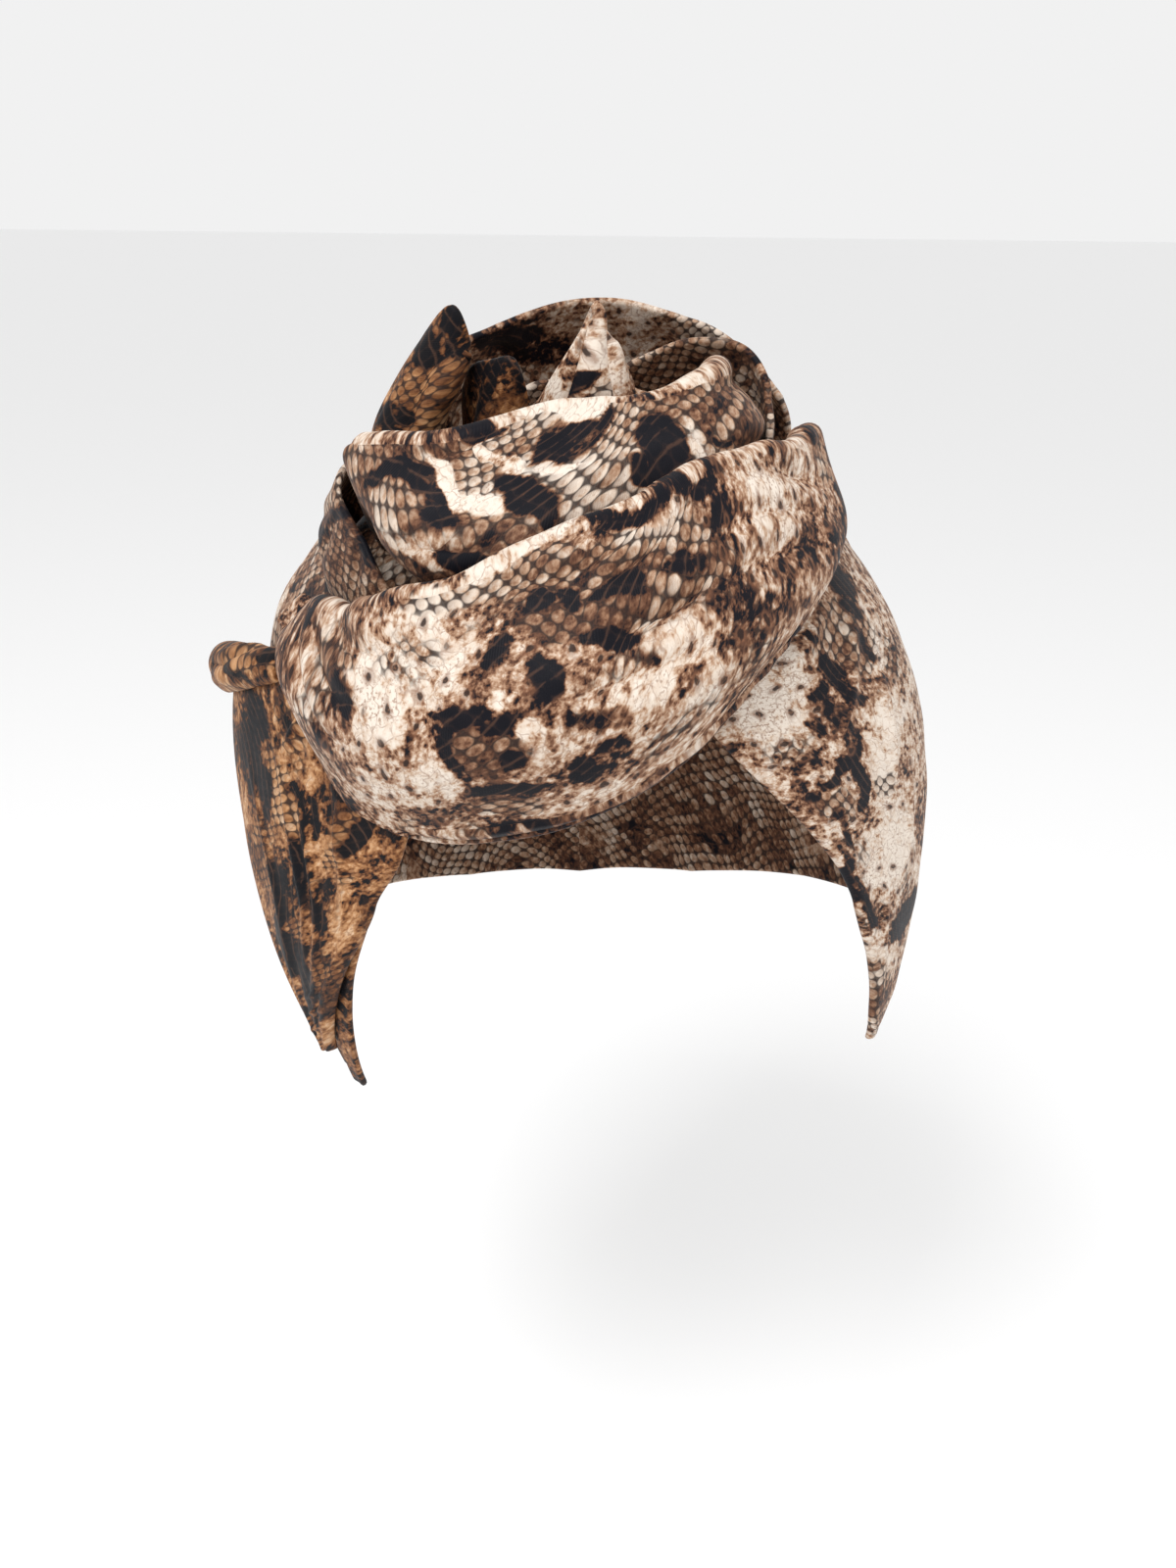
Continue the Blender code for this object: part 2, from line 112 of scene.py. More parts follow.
def puffed(table, turn, fall):
    """Sum of the humps of a table at a place on the head."""
    height = 0.0
    for middle, turn_reach, level, fall_reach, share in table[1:]:
        apart = (np.asarray(turn, float) - middle + 180) % 360 - 180
        height = height + share * hill(apart, 0, turn_reach) * hill(fall, level, fall_reach)
    return height


def cap_rise(turn, fall):
    """Inner face of the cap above the head: snug in front, puffed at the sides and back."""
    folds = 1 + np.cos(2 * NAPE_FOLDS * np.radians(turn))
    sides = SIDE_PUFF * puffed(SIDE_PUFFS, turn, fall)
    back = BACK_PUFF * puffed(BACK_PUFFS, turn, fall)
    nape = NAPE_GATHER * folds * puffed(NAPE_PUFFS, turn, fall)
    return SNUG + sides + back + nape


def head_axes(rise, ahead, above):
    """Half breadth, half depth and half height of the head form, grown by rise."""
    depth = np.where(ahead, HEAD_FRONT, HEAD_BACK) + rise
    height = np.where(above, CROWN_HEIGHT, JAW_DEPTH) + rise
    return HEAD_BREADTH / 2 + rise, depth, height


def head_point(turn, fall, rise):
    """Point at turn degrees round the head, fall degrees below the crown, rise above the head."""
    turn, fall = np.radians(turn), np.radians(fall)
    breadth, depth, height = head_axes(rise, np.cos(turn) > 0, np.cos(fall) > 0)
    ring = np.abs(np.sin(fall)) ** (2 / HEAD_FULLNESS)
    level = np.sign(np.cos(fall)) * np.abs(np.cos(fall)) ** (2 / HEAD_FULLNESS)
    across = breadth * np.sin(turn) * ring
    along = HEAD_SHIFT - depth * np.cos(turn) * ring
    up = -CROWN_HEIGHT + height * level
    return np.stack(np.broadcast_arrays(across, along, up), axis=-1)


WAVES = (("length", "lean"), (0.043, 0.4), (0.029, 2.0), (0.021, 1.1), (0.016, 2.7))


def slack(along, across, height, start):
    """Soft uneven waves that loose jersey keeps when it is worn."""
    waves = 0.0
    for step, (length, lean) in enumerate(WAVES[1:]):
        way = along * np.cos(lean) + across * np.sin(lean)
        bend = 0.8 * np.sin(37 * across + 1.7 * step + start)
        waves = waves + length * np.sin(2 * np.pi * way / length + bend + 2.1 * step * start)
    return height * waves / column(WAVES, "length").sum()


CREASE_GROOVE = 0.55
CREASE_GROOVE_ASIDE = 1.5
CREASE_GROOVE_WIDTH = 0.8


def creased(along, across, table):
    """Height of pressed-in creases: a soft ridge on each line and a groove beside it. The lines,
    widths and rises in the table are in millimetres."""
    height = np.zeros_like(along)
    for from_along, from_across, to_along, to_across, width, rise in table[1:]:
        run, drop = (to_along - from_along) / 1000, (to_across - from_across) / 1000
        length = np.hypot(run, drop)
        ahead = (along - from_along / 1000) * run / length + (across - from_across / 1000) * drop / length
        aside = (across - from_across / 1000) * run / length - (along - from_along / 1000) * drop / length
        taper = hill(ahead / length, 0.5, 0.62) * ease(ahead / length, -0.05, 0.2)
        aside = aside * 1000 / width
        beside = (aside - CREASE_GROOVE_ASIDE) / CREASE_GROOVE_WIDTH
        ridge = np.exp(-aside ** 2) - CREASE_GROOVE * np.exp(-beside ** 2)
        height = height + rise / 1000 * taper * ridge
    return height


HEM_GROOVE = 0.70
HEM_GROOVE_ASIDE = 0.0006
HEM_GROOVE_WIDTH = 0.0009


def turned_hem(distance, width, rise):
    """Height of a turned edge: a doubled strip along it with a stitched-down groove beside the strip."""
    strip = ease(distance, -0.0002, 0.0010) * (1 - ease(distance, width - 0.0007, width + 0.0003))
    groove = np.exp(-((distance - width - HEM_GROOVE_ASIDE) / HEM_GROOVE_WIDTH) ** 2)
    return rise * (strip - HEM_GROOVE * groove)


def added_up(grid, axis):
    """Distance from the first edge of a grid at each of its points, along one axis."""
    steps = np.cumsum(np.linalg.norm(np.diff(grid, axis=axis), axis=-1), axis=axis)
    return np.insert(steps, 0, 0, axis=axis)


def unit(ways):
    """Directions of length 1."""
    return ways / np.maximum(np.linalg.norm(ways, axis=-1, keepdims=True), 1e-12)


def outward(grid):
    """Unit normals of a grid of points."""
    return unit(np.cross(np.gradient(grid, axis=1), np.gradient(grid, axis=0)))


SCATTER = (127.1, 311.7, 43758.5)


def uneven(along, across, size, start):
    """Smooth numbers from -1 to 1 over the cloth, with a new one at every size metres."""
    first, second = along / size, across / size
    whole_first, whole_second = np.floor(first), np.floor(second)
    part_first, part_second = ease(first - whole_first, 0, 1), ease(second - whole_second, 0, 1)
    corners = []
    for one in (0, 1):
        for other in (0, 1):
            place = (whole_first + one) * SCATTER[0] + (whole_second + other) * SCATTER[1] + start
            turn = np.sin(place) * SCATTER[2]
            corners.append((turn - np.floor(turn)) * 2 - 1)
    near = corners[0] + (corners[1] - corners[0]) * part_second
    far = corners[2] + (corners[3] - corners[2]) * part_second
    return near + (far - near) * part_first


PATCH_EDGES = (("size", "sway", "sway_start", "heave", "heave_start"),
               (0.011, 2.6, 1.0, 2.2, 5.0), (0.0045, 1.5, 2.0, 1.3, 7.0))


def printed(along, across, base, patches):
    """Share of light ground, scale net and teardrop spots at each point of the cloth: patches on a
    base, with uneven outlines. Each patch has its middle and half sizes in millimetres."""
    marks = np.broadcast_to(np.array(base, float), along.shape + (3,)).copy()
    sway, heave = np.zeros_like(along), np.zeros_like(along)
    for size, swing, swing_start, lift, lift_start in PATCH_EDGES[1:]:
        sway += swing * uneven(along, across, size, swing_start)
        heave += lift * uneven(along, across, size, lift_start)
    for place, level, reach, depth, lean, *wanted in patches[1:]:
        side = np.radians(lean)
        run, drop = along * 1000 - place + sway, across * 1000 - level + heave
        ahead = (run * np.cos(side) + drop * np.sin(side)) / reach
        aside = (drop * np.cos(side) - run * np.sin(side)) / depth
        share = 1 - ease(np.hypot(ahead, aside), 0.70, 1.20)
        marks += share[..., None] * (np.array(wanted, float) - marks)
    return marks


EDGE_ROUND = (("bend", "past"), (45, 0.25), (90, 0.50), (135, 0.25))


def sew(name, outer, inner, along, across, marks, material, round_ring=True):
    """Closed sheet between two grids of points with a rolled edge, its cloth measure and its print."""
    rows, cols = outer.shape[:2]
    count = rows * cols
    here = np.arange(count).reshape(rows, cols)
    if round_ring:
        ring = np.array([*here[0], *here[1:, -1], *here[-1, -2::-1], *here[-2:0:-1, 0], here[0, 0]])
    else:
        ring = here[:, -1]
    flat = np.stack((along, across), -1)

    def past_edge(grid):
        """Direction that leads off the sheet at each point of its ring."""
        away = np.zeros_like(grid)
        sides = [(np.s_[:, 0], np.s_[:, 1]), (np.s_[:, -1], np.s_[:, -2])] + [(0, 1), (-1, -2)] * round_ring
        for side, near in sides:
            away[side] += unit(grid[side] - grid[near])
        return unit(away).reshape(-1, grid.shape[-1])[ring]

    out, into = outer.reshape(-1, 3)[ring], inner.reshape(-1, 3)[ring]
    way, flat_way = past_edge(outer), past_edge(flat)
    half = (out - into) / 2
    stout = np.linalg.norm(half, axis=-1, keepdims=True)
    loops = [(out + into) / 2 + np.cos(bend) * half + np.sin(bend) * stout * way
             for bend in np.radians(column(EDGE_ROUND, "bend"))]
    points = np.concatenate((outer.reshape(-1, 3), inner.reshape(-1, 3), *loops))
    near, far = here[:-1, :-1].ravel(), here[1:, 1:].ravel()
    down, beside = here[1:, :-1].ravel(), here[:-1, 1:].ravel()
    faces = [np.stack((near, beside, far, down), -1)]
    faces.append(np.stack((down, far, beside, near), -1) + count)
    rounds = [2 * count + turn * len(ring) + np.arange(len(ring)) for turn in range(len(loops))]
    chain = [ring, *rounds, ring + count]
    for upper, lower in zip(chain, chain[1:]):
        faces.append(np.stack((upper[1:], upper[:-1], lower[:-1], lower[1:]), -1))
    faces = np.concatenate(faces)
    flat = flat.reshape(-1, 2)
    round_edge = [flat[ring] + share * np.pi * stout * flat_way for share in column(EDGE_ROUND, "past")]
    cloth_at = np.concatenate((flat, flat, *round_edge))
    marks = marks.reshape(-1, 3)
    marks = np.concatenate((marks, marks, *[marks[ring]] * len(loops)))
    mesh = bpy.data.meshes.new(name)
    mesh.from_pydata(points.tolist(), [], faces.tolist())
    mesh.uv_layers.new(name="cloth").uv.foreach_set("vector", cloth_at[faces.ravel()].ravel())
    dyed = mesh.attributes.new("print", "FLOAT_VECTOR", "POINT")
    dyed.data.foreach_set("vector", marks.ravel())
    mesh.materials.append(material)
    piece = bpy.data.objects.new(name, mesh)
    bpy.context.scene.collection.objects.link(piece)
    mesh.update()
    mesh.shade_smooth()
    return piece


def dress(piece, node):
    """Puts a sheet in the place of its solid: hangs it from the root and hides the solid."""
    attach(piece, "root")
    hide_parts(node)


class Dye:
    """A socket of one cloth's material; sums and products on it become Math nodes."""

    def __init__(self, tree, socket=None):
        self.tree = tree
        self.socket = socket

    def node(self, kind, settings=(), values=(), output=0):
        """Adds a node: its settings first, then the values or links of its sockets."""
        made = self.tree.nodes.new("ShaderNode" + kind)
        for name, setting in dict(settings).items():
            if name == "stops":
                for spare in range(len(setting) - 2):
                    made.color_ramp.elements.new(0.5)
                for stop, (place, colour) in zip(made.color_ramp.elements, setting):
                    stop.position = place
                    stop.color = (*colour, 1.0)
            else:
                setattr(made, name, setting)
        for name, value in dict(values).items():
            if isinstance(value, Dye):
                self.tree.links.new(value.socket, made.inputs[name])
            else:
                made.inputs[name].default_value = value
        return Dye(self.tree, made.outputs[output])

    def maths(self, operation, *others):
        """This number worked on by a Math node, with any others after it."""
        return self.node("Math", {"operation": operation}, dict(enumerate((self, *others))))

    def step(self, low, high):
        """Smooth step from 0 at low to 1 at high."""
        limits = {"Value": self, "From Min": low, "From Max": high}
        return self.node("MapRange", {"interpolation_type": "SMOOTHSTEP"}, limits)

    def blend(self, share, other):
        """This colour turned into another one by a share from 0 to 1."""
        return self.node("Mix", {"data_type": "RGBA"}, {0: share, 6: self, 7: other}, 2)

    def __add__(self, other):
        return self.maths("ADD", other)

    def __sub__(self, other):
        return self.maths("SUBTRACT", other)

    def __mul__(self, other):
        return self.maths("MULTIPLY", other)

    def __truediv__(self, other):
        return self.maths("DIVIDE", other)

    def __rsub__(self, other):
        return self.node("Math", {"operation": "SUBTRACT"}, {0: other, 1: self})

    def __rtruediv__(self, other):
        return self.node("Math", {"operation": "DIVIDE"}, {0: other, 1: self})

    __radd__ = __add__
    __rmul__ = __mul__


SNAKE_DYES = (
    (0.00, (0.003, 0.003, 0.006)),
    (0.36, (0.005, 0.004, 0.007)),
    (0.41, (0.050, 0.020, 0.012)),
    (0.49, (0.140, 0.062, 0.034)),
    (0.57, (0.290, 0.155, 0.090)),
    (0.66, (0.470, 0.310, 0.210)),
    (0.76, (0.630, 0.510, 0.410)),
    (1.00, (0.740, 0.650, 0.560)),
)
COPPER_DYES = (
    (0.00, (0.003, 0.003, 0.005)),
    (0.38, (0.005, 0.004, 0.005)),
    (0.43, (0.060, 0.022, 0.010)),
    (0.54, (0.180, 0.070, 0.026)),
    (0.66, (0.340, 0.160, 0.066)),
    (0.78, (0.500, 0.270, 0.130)),
    (1.00, (0.620, 0.430, 0.280)),
)


SCALE_SHADE = (0.100, 0.044, 0.025, 1.0)
NET_LINE = (0.020, 0.012, 0.011, 1.0)
SCALE_GLINT = (0.150, 0.072, 0.042, 1.0)
SPOT_RIM = (0.200, 0.086, 0.045, 1.0)
SPOT_HEART = (0.022, 0.012, 0.010, 1.0)
FRECKLE = (0.230, 0.110, 0.060, 1.0)
BLOTCHES = 0.055
BREAKS = 0.24
SPECKLES = 0.62
FRECKLES = 1.15
SPOT_LENGTH = 7.2
SPOT_WIDTH = 6.4
VEINS = 0.30
KNIT_RIBS = 0.55
KNIT_GRAIN = 3.1
KNIT_DEPTH = 0.00012


def parts(vector):
    """The three numbers of a vector."""
    outputs = vector.node("SeparateXYZ", (), {0: vector}).socket.node.outputs
    return [Dye(vector.tree, output) for output in outputs]


def cells(value):
    """The number of the cell that a value falls in, and its place in that cell from 0 to 1."""
    whole = value.maths("FLOOR")
    return whole, value - whole


def mottle(vector, frequency, detail=2.0, output=0):
    """Clouds of light and dark over the cloth, so many to the millimetre."""
    texture = {"Vector": vector, "Scale": frequency, "Detail": detail, "Roughness": 0.55}
    return vector.node("TexNoise", {"noise_dimensions": "2D"}, texture, output)


def carried(vector, frequency, reach):
    """The places on the cloth, pushed about so that rows of scales wander."""
    push = vector.node("VectorMath", {"operation": "SUBTRACT"},
                       {0: mottle(vector, frequency, 1.0, 1), 1: (0.5, 0.5, 0.5)})
    way = vector.node("VectorMath", {"operation": "SCALE"}, {0: push, "Scale": reach})
    return vector.node("VectorMath", {"operation": "ADD"}, {0: vector, 1: way})


def teardrops(drops, speckle):
    """How far each place is from the middle of a teardrop, and each drop's own chance."""
    drop_along, drop_across = parts(drops)[:2]
    lane, along = cells(drop_along / SPOT_WIDTH)
    row, across = cells(drop_across / SPOT_LENGTH + lane * 0.5)
    drop = drops.node("CombineXYZ", (), {0: lane, 1: row})
    chance = drops.node("TexWhiteNoise", {"noise_dimensions": "2D"}, {"Vector": drop})
    along, across = along - 0.5, across - 0.5
    wide = along * (across * 3.2 + 2.9)
    return (wide * wide + across * across * 5.5).maths("SQRT") + (speckle - 0.5) * 0.35, chance


def snake_jersey(name, dyes, shift, scale_along=4.6, scale_across=3.6, lean=0.0):
    """Satin jersey printed with snake scales: blotches that follow the scales, a net and spots."""
    material = bpy.data.materials.new(name)
    material.use_nodes = True
    cloth = Dye(material.node_tree)
    shader = material.node_tree.nodes["Principled BSDF"]
    metres = cloth.node("UVMap", {"uv_map": "cloth"})
    place = cloth.node("Mapping", (), {"Vector": metres, "Location": (*shift, 0), "Rotation": (0, 0, lean),
                                       "Scale": (1000, 1000, 1000)})
    ground, netted, spotted = parts(cloth.node("Attribute", {"attribute_name": "print"}, (), 1))

    # The scales: a diamond grid that wanders, the middle of each scale and how near its rim is
    wander = carried(carried(place, 0.030, 12.0), 0.20, 0.9)
    run, drop = parts(wander)[:2]
    whole_first, part_first = cells(run / scale_along + drop / scale_across)
    whole_second, part_second = cells(run / scale_along - drop / scale_across)
    middle = cloth.node("CombineXYZ", (), {
        0: (whole_first + whole_second + 1.0) * (scale_along / 2),
        1: (whole_first - whole_second) * (scale_across / 2)})
    chance = cloth.node("TexWhiteNoise", {"noise_dimensions": "2D"}, {"Vector": middle})
    aside_first, aside_second = part_first * 2.0 - 1.0, part_second * 2.0 - 1.0
    rim = 1.0 - (aside_first * aside_first + aside_second * aside_second).maths("SQRT") * 0.88

    # The tone of the ground: blotches in whole scales where there is a net, loose speckles elsewhere
    scaled = netted.step(0.15, 0.75)
    look = cloth.node("Mix", {"data_type": "VECTOR"}, {0: scaled, 4: wander, 5: middle}, 1)
    blotch = mottle(look, BLOTCHES, 4.0) - 0.5
    broken = mottle(look, BREAKS, 3.0) - 0.5
    speckle = mottle(place, SPECKLES, 4.0)
    loose = 1.15 - netted * 0.60
    tone = ground + (blotch * 1.15 + broken * 0.90) * loose + (chance - 0.5) * scaled * 0.10 \
        + (speckle - 0.5) * (1.0 - scaled * 0.5) * 0.95
    colour = cloth.node("ValToRGB", {"stops": dyes}, {0: tone})

    # The net: dark lines between the scales, a shaded side on each, and a faint glint in the blacks
    dark = 1.0 - tone.step(0.36, 0.50)
    inside = rim.step(0.06, 0.36)
    net_there = (netted + (mottle(place, 0.05) - 0.5) * 1.5).step(0.36, 0.62)
    row_shade = (part_first + part_second).step(0.25, 1.5)
    colour = colour.blend(net_there * (1.0 - row_shade) * (1.0 - dark) * 0.50, SCALE_SHADE)
    colour = colour.blend((1.0 - inside) * net_there * (1.0 - dark) * 0.92, NET_LINE)
    row_gap = 1.0 - (part_second.maths("MINIMUM", 1.0 - part_second) * 2.0).step(0.03, 0.30)
    glint = (row_gap + (1.0 - inside) * 0.2) * dark * (broken * 2.0 + speckle + netted * 0.6).step(0.45, 0.95)
    colour = colour.blend(glint.maths("MINIMUM", 1.0) * 0.32, SCALE_GLINT)

    # Teardrop spots with a brown rim, only in the patches that have them
    drops = carried(place, 0.09, 5.0)
    apart, drop_chance = teardrops(drops, speckle)
    drop_there = (drop_chance + spotted).step(0.62, 0.72) * spotted.step(0.05, 0.30)
    colour = colour.blend((1.0 - apart.step(0.36, 0.78)) * drop_there * 0.55, SPOT_RIM)
    colour = colour.blend((1.0 - apart.step(0.22, 0.38)) * drop_there * 0.92, SPOT_HEART)

    # Fine brown veins and freckles on the light ground
    crazed = cloth.node("TexVoronoi", {"feature": "DISTANCE_TO_EDGE", "voronoi_dimensions": "2D"},
                        {"Vector": carried(drops, 0.35, 2.4), "Scale": VEINS})
    veins = (1.0 - crazed.step(0.015, 0.075)) * tone.step(0.46, 0.60) * (1.0 - net_there * 0.75)
    colour = colour.blend(veins * (speckle * 1.6).step(0.45, 0.95) * 0.50, FRECKLE)
    freckle = mottle(place, FRECKLES, 2.0).step(0.53, 0.66)
    light = tone.step(0.60, 0.74)
    soft = (mottle(place, 0.11, 2.0) - 0.2 + spotted * 0.25).step(0.22, 0.62)
    colour = colour.blend(freckle * light * soft * 0.62, FRECKLE)

    # The knit: fine ribs and a grain, with a soft satin gloss
    ribs = cloth.node("TexWave", {"wave_type": "BANDS", "bands_direction": "X"},
                      {"Vector": place, "Scale": KNIT_RIBS, "Distortion": 1.2, "Detail": 1.0})
    knit = ribs * 0.6 + mottle(place, KNIT_GRAIN, 1.0) * 0.8
    pressed = cloth.node("Bump", (), {"Strength": 0.35, "Distance": KNIT_DEPTH, "Height": knit})
    gloss = 0.54 + mottle(place, 0.5, 1.0) * 0.12 - dark * 0.04
    for wanted, made in (("Base Color", colour), ("Normal", pressed), ("Roughness", gloss)):
        cloth.tree.links.new(made.socket, shader.inputs[wanted])
    for fixed, level in (("Specular IOR Level", 0.13), ("Sheen Weight", 0.03), ("Sheen Roughness", 0.40)):
        shader.inputs[fixed].default_value = level
    return material


PATCH_COLUMNS = ("along", "across", "reach", "depth", "lean", "ground", "net", "spots")
CAP_PRINT = (
    PATCH_COLUMNS,
    (100, 100, 26, 34, 20, 0.80, 0.3, 0.4), (70, 70, 34, 10, 60, 0.16, 0.6, 0),
    (128, 60, 24, 12, -30, 0.14, 0.6, 0), (150, 110, 30, 10, 70, 0.20, 0.8, 0),
    (90, 130, 28, 9, 10, 0.15, 0.6, 0), (200, 50, 30, 14, 0, 0.20, 0.8, 0),
    (350, 50, 30, 14, 10, 0.78, 0.4, 0.3), (380, 110, 26, 10, 20, 0.20, 0.7, 0),
    (400, 70, 36, 12, 40, 0.14, 0.6, 0), (430, 110, 40, 22, 80, 0.82, 0.3, 0.6),
    (460, 80, 22, 10, -40, 0.15, 0.7, 0), (470, 130, 30, 10, 5, 0.20, 0.6, 0),
)
cap_turn = np.linspace(-180, 180, CAP_STEPS_ROUND)[:, None]
cap_edge = np.interp(cap_turn, column(CAP_EDGE, "turn"), column(CAP_EDGE, "fall"))
cap_share = np.concatenate((np.linspace(0, CAP_HEM_STARTS, CAP_STEPS_DOWN[0]),
                            np.linspace(CAP_HEM_STARTS + CAP_HEM_STEP, 1, CAP_STEPS_DOWN[1])))
cap_fall = cap_share * cap_edge
cap_inner = head_point(cap_turn, cap_fall, cap_rise(cap_turn, cap_fall))
cap_across = added_up(cap_inner, 1)
cap_along = np.radians(cap_turn + 180) * (HEAD_BREADTH + HEAD_FRONT + HEAD_BACK) / 4 * np.ones_like(cap_fall)
from_edge = cap_across[:, -1:] - cap_across
cap_waves = slack(cap_along, cap_across, CAP_SLACK, 0.6) * hill(cap_turn, 0, 180) * ease(cap_fall, 30, 60)
cap_drape = CAP_DRAPE * np.sin(cap_across * 210 + 1.3 * np.cos(np.radians(cap_turn) * 2)) \
    * puffed(BACK_PUFFS, cap_turn, cap_fall)
cap_relief = np.clip(cap_waves + cap_drape, -CAP_DIP, None) * ease(from_edge, 0.004, 0.02)
cap_relief = cap_relief + turned_hem(from_edge, CAP_HEM_WIDTH, CAP_HEM_RISE)
cap_outer = head_point(cap_turn, cap_fall, cap_rise(cap_turn, cap_fall) + CLOTH + cap_relief)
cap_piece = sew("crown_cap_cloth", cap_outer, cap_inner, cap_along, cap_across,
                printed(cap_along, cap_across, base=(0.58, 0.75, 0.2), patches=CAP_PRINT),
                snake_jersey("crown_cap_jersey", SNAKE_DYES, (3.0, 11.0)), round_ring=False)
shell = bmesh.new()
shell.from_mesh(cap_piece.data)
bmesh.ops.remove_doubles(shell, verts=shell.verts, dist=WELD)
shell.to_mesh(cap_piece.data)
shell.free()
dress(cap_piece, "crown_cap")


# Right band: a smooth strip of the same jersey that runs from the front wrap down the right side.
# It lies on the cap in one layer, cut on the slant, with both long edges turned in.
RIGHT_SLACK = 0.0004
RIGHT_HEM = 0.0055
BAND_HEM_RISE = 0.0004
EVENNESS = 0.6
BAND_COLUMNS = ("front_turn", "front_fall", "rear_turn", "rear_fall", "bow")
RIGHT_BAND = (
    BAND_COLUMNS,
    (8, 60, 80, 34, -4),
    (17, 69, 98, 50, -2),
    (31, 80, 106, 66, 0),
    (39, 86, 108, 78, 0),
    (46, 92, 104, 90, 0),
    (52, 98, 96, 99, 0),
    (56, 104, 87, 105, 0),
    (60, 110, 75, 111, 0),
)
RIGHT_BAND_PRINT = (
    PATCH_COLUMNS,
    (18, 16, 14, 11, -36, 0.86, 0.12, 1), (10, 61, 10, 7, 34, 0.14, 0.6, 0),
    (20, 47, 14, 10, 62, 0.62, 1, 0), (13, 36, 4, 2, 6, 0.14, 0.5, 0), (19, 55, 5, 3, 22, 0.16, 0.6, 0),
    (27, 51, 6, 2, 16, 0.18, 0.6, 0), (26, 35, 5, 3, 12, 0.14, 0.5, 0), (27, 27, 5, 2, 78, 0.16, 0.5, 0),
    (37, 38, 7, 2, 28, 0.18, 0.6, 0), (36, 27, 8, 5, 35, 0.5, 0.5, 0.1), (33, 18, 3, 2, 7, 0.3, 0.4, 0.2),
    (44, 19, 8, 2, -81, 0.1, 0.5, 0), (52, 19, 9, 2, -27, 0.1, 0.5, 0), (45, 12, 4, 2, 86, 0.14, 0.5, 0),
    (54, 8, 7, 6, 44, 0.54, 1, 0), (47, 5, 3, 2, -49, 0.22, 0.4, 0), (63, 7, 7, 2, 0, 0.16, 0.5, 0),
    (53, 29, 12, 6, -34, 0.78, 0.9, 0), (48, 41, 15, 8, -69, 0.88, 0.15, 0.1),
    (79, 19, 19, 12, -16, 0.82, 0.12, 0.4), (76, 2, 13, 2, 1, 0.12, 0.4, 0),
    (90, 2, 10, 2, 7, 0.16, 0.4, 0), (107, 23, 15, 6, 88, 0.14, 0.4, 0), (124, 2, 15, 9, 20, 0.52, 0.8, 0),
    (106, 1, 8, 5, 3, 0.76, 0.2, 0.3), (38, 52, 19, 3, -89, 0.6, 0.5, 0.2),
)
CREASE_COLUMNS = ("from_along", "from_across", "to_along", "to_across", "width", "rise")
RIGHT_BAND_CREASES = (
    CREASE_COLUMNS,
    (11, 52, 18, 18, 2.7, 1.2), (17, 57, 41, 23, 2.5, 1.1), (29, 54, 68, 27, 2.5, 1.0),
    (27, 13, 70, 9, 2.7, 0.7), (64, 42, 92, 21, 2.2, 1.0), (82, 15, 121, 2, 1.9, 0.9),
)


def no_rise(turn, fall):
    """A band that lies straight on its layer."""
    return 0.0


def measure(grid):
    """Distance along and across the cloth at each point of a grid, from its first edge and its foot.
    Lengths along it are evened out over its width, so that the print isn't sheared."""
    along = added_up(grid, 0)
    middle = len(along) // 2
    along = along - along[middle] + along[middle].mean()
    along = (1 - EVENNESS) * along + EVENNESS * along.mean(axis=1, keepdims=True)
    return along, added_up(grid, 1)


def side_band(name, table, relief, patches, material, base, layers, rows, cols, rise=no_rise):
    """Side band: a strip between two edges on the head, pressed into its pleats and creases."""
    down = np.linspace(0, 1, rows)[:, None]
    share = np.linspace(0, 1, cols)
    edges = {key: smooth(column(table, key), down) for key in table[0]}
    turn = edges["front_turn"] + (edges["rear_turn"] - edges["front_turn"]) * share
    fall = edges["front_fall"] + (edges["rear_fall"] - edges["front_fall"]) * share
    fall = fall + edges["bow"] * 4 * share * (1 - share)
    seat = cap_rise(turn, fall) + layers * LAYER + rise(turn, fall)
    along, across = measure(head_point(turn, fall, seat))
    seat = seat + relief(along, across, down, share)
    outer, inner = head_point(turn, fall, seat + CLOTH), head_point(turn, fall, seat)
    if edges["front_turn"][0, 0] < edges["rear_turn"][0, 0]:
        outer, inner, along, across = (grid[:, ::-1] for grid in (outer, inner, along, across))
    piece = sew(name + "_cloth", outer, inner, along, across, printed(along, across, base, patches), material)
    dress(piece, name)
    return piece


def right_relief(along, across, down, share):
    """Turned edges, and soft pull creases towards the lower end."""
    width = across[:, -1:]
    hems = turned_hem(across, RIGHT_HEM, BAND_HEM_RISE) + turned_hem(width - across, RIGHT_HEM, BAND_HEM_RISE)
    loose = slack(along, across, RIGHT_SLACK, 2.2) + RIGHT_SLACK
    return np.clip(hems, 0, None) + loose + np.clip(creased(along, across, RIGHT_BAND_CREASES), 0, None)


side_band("right_band", RIGHT_BAND, right_relief, RIGHT_BAND_PRINT,
          snake_jersey("right_band_jersey", SNAKE_DYES, (71.0, 23.0), lean=0.5),
          base=(0.66, 0.25, 0.45), layers=1, rows=150, cols=110)


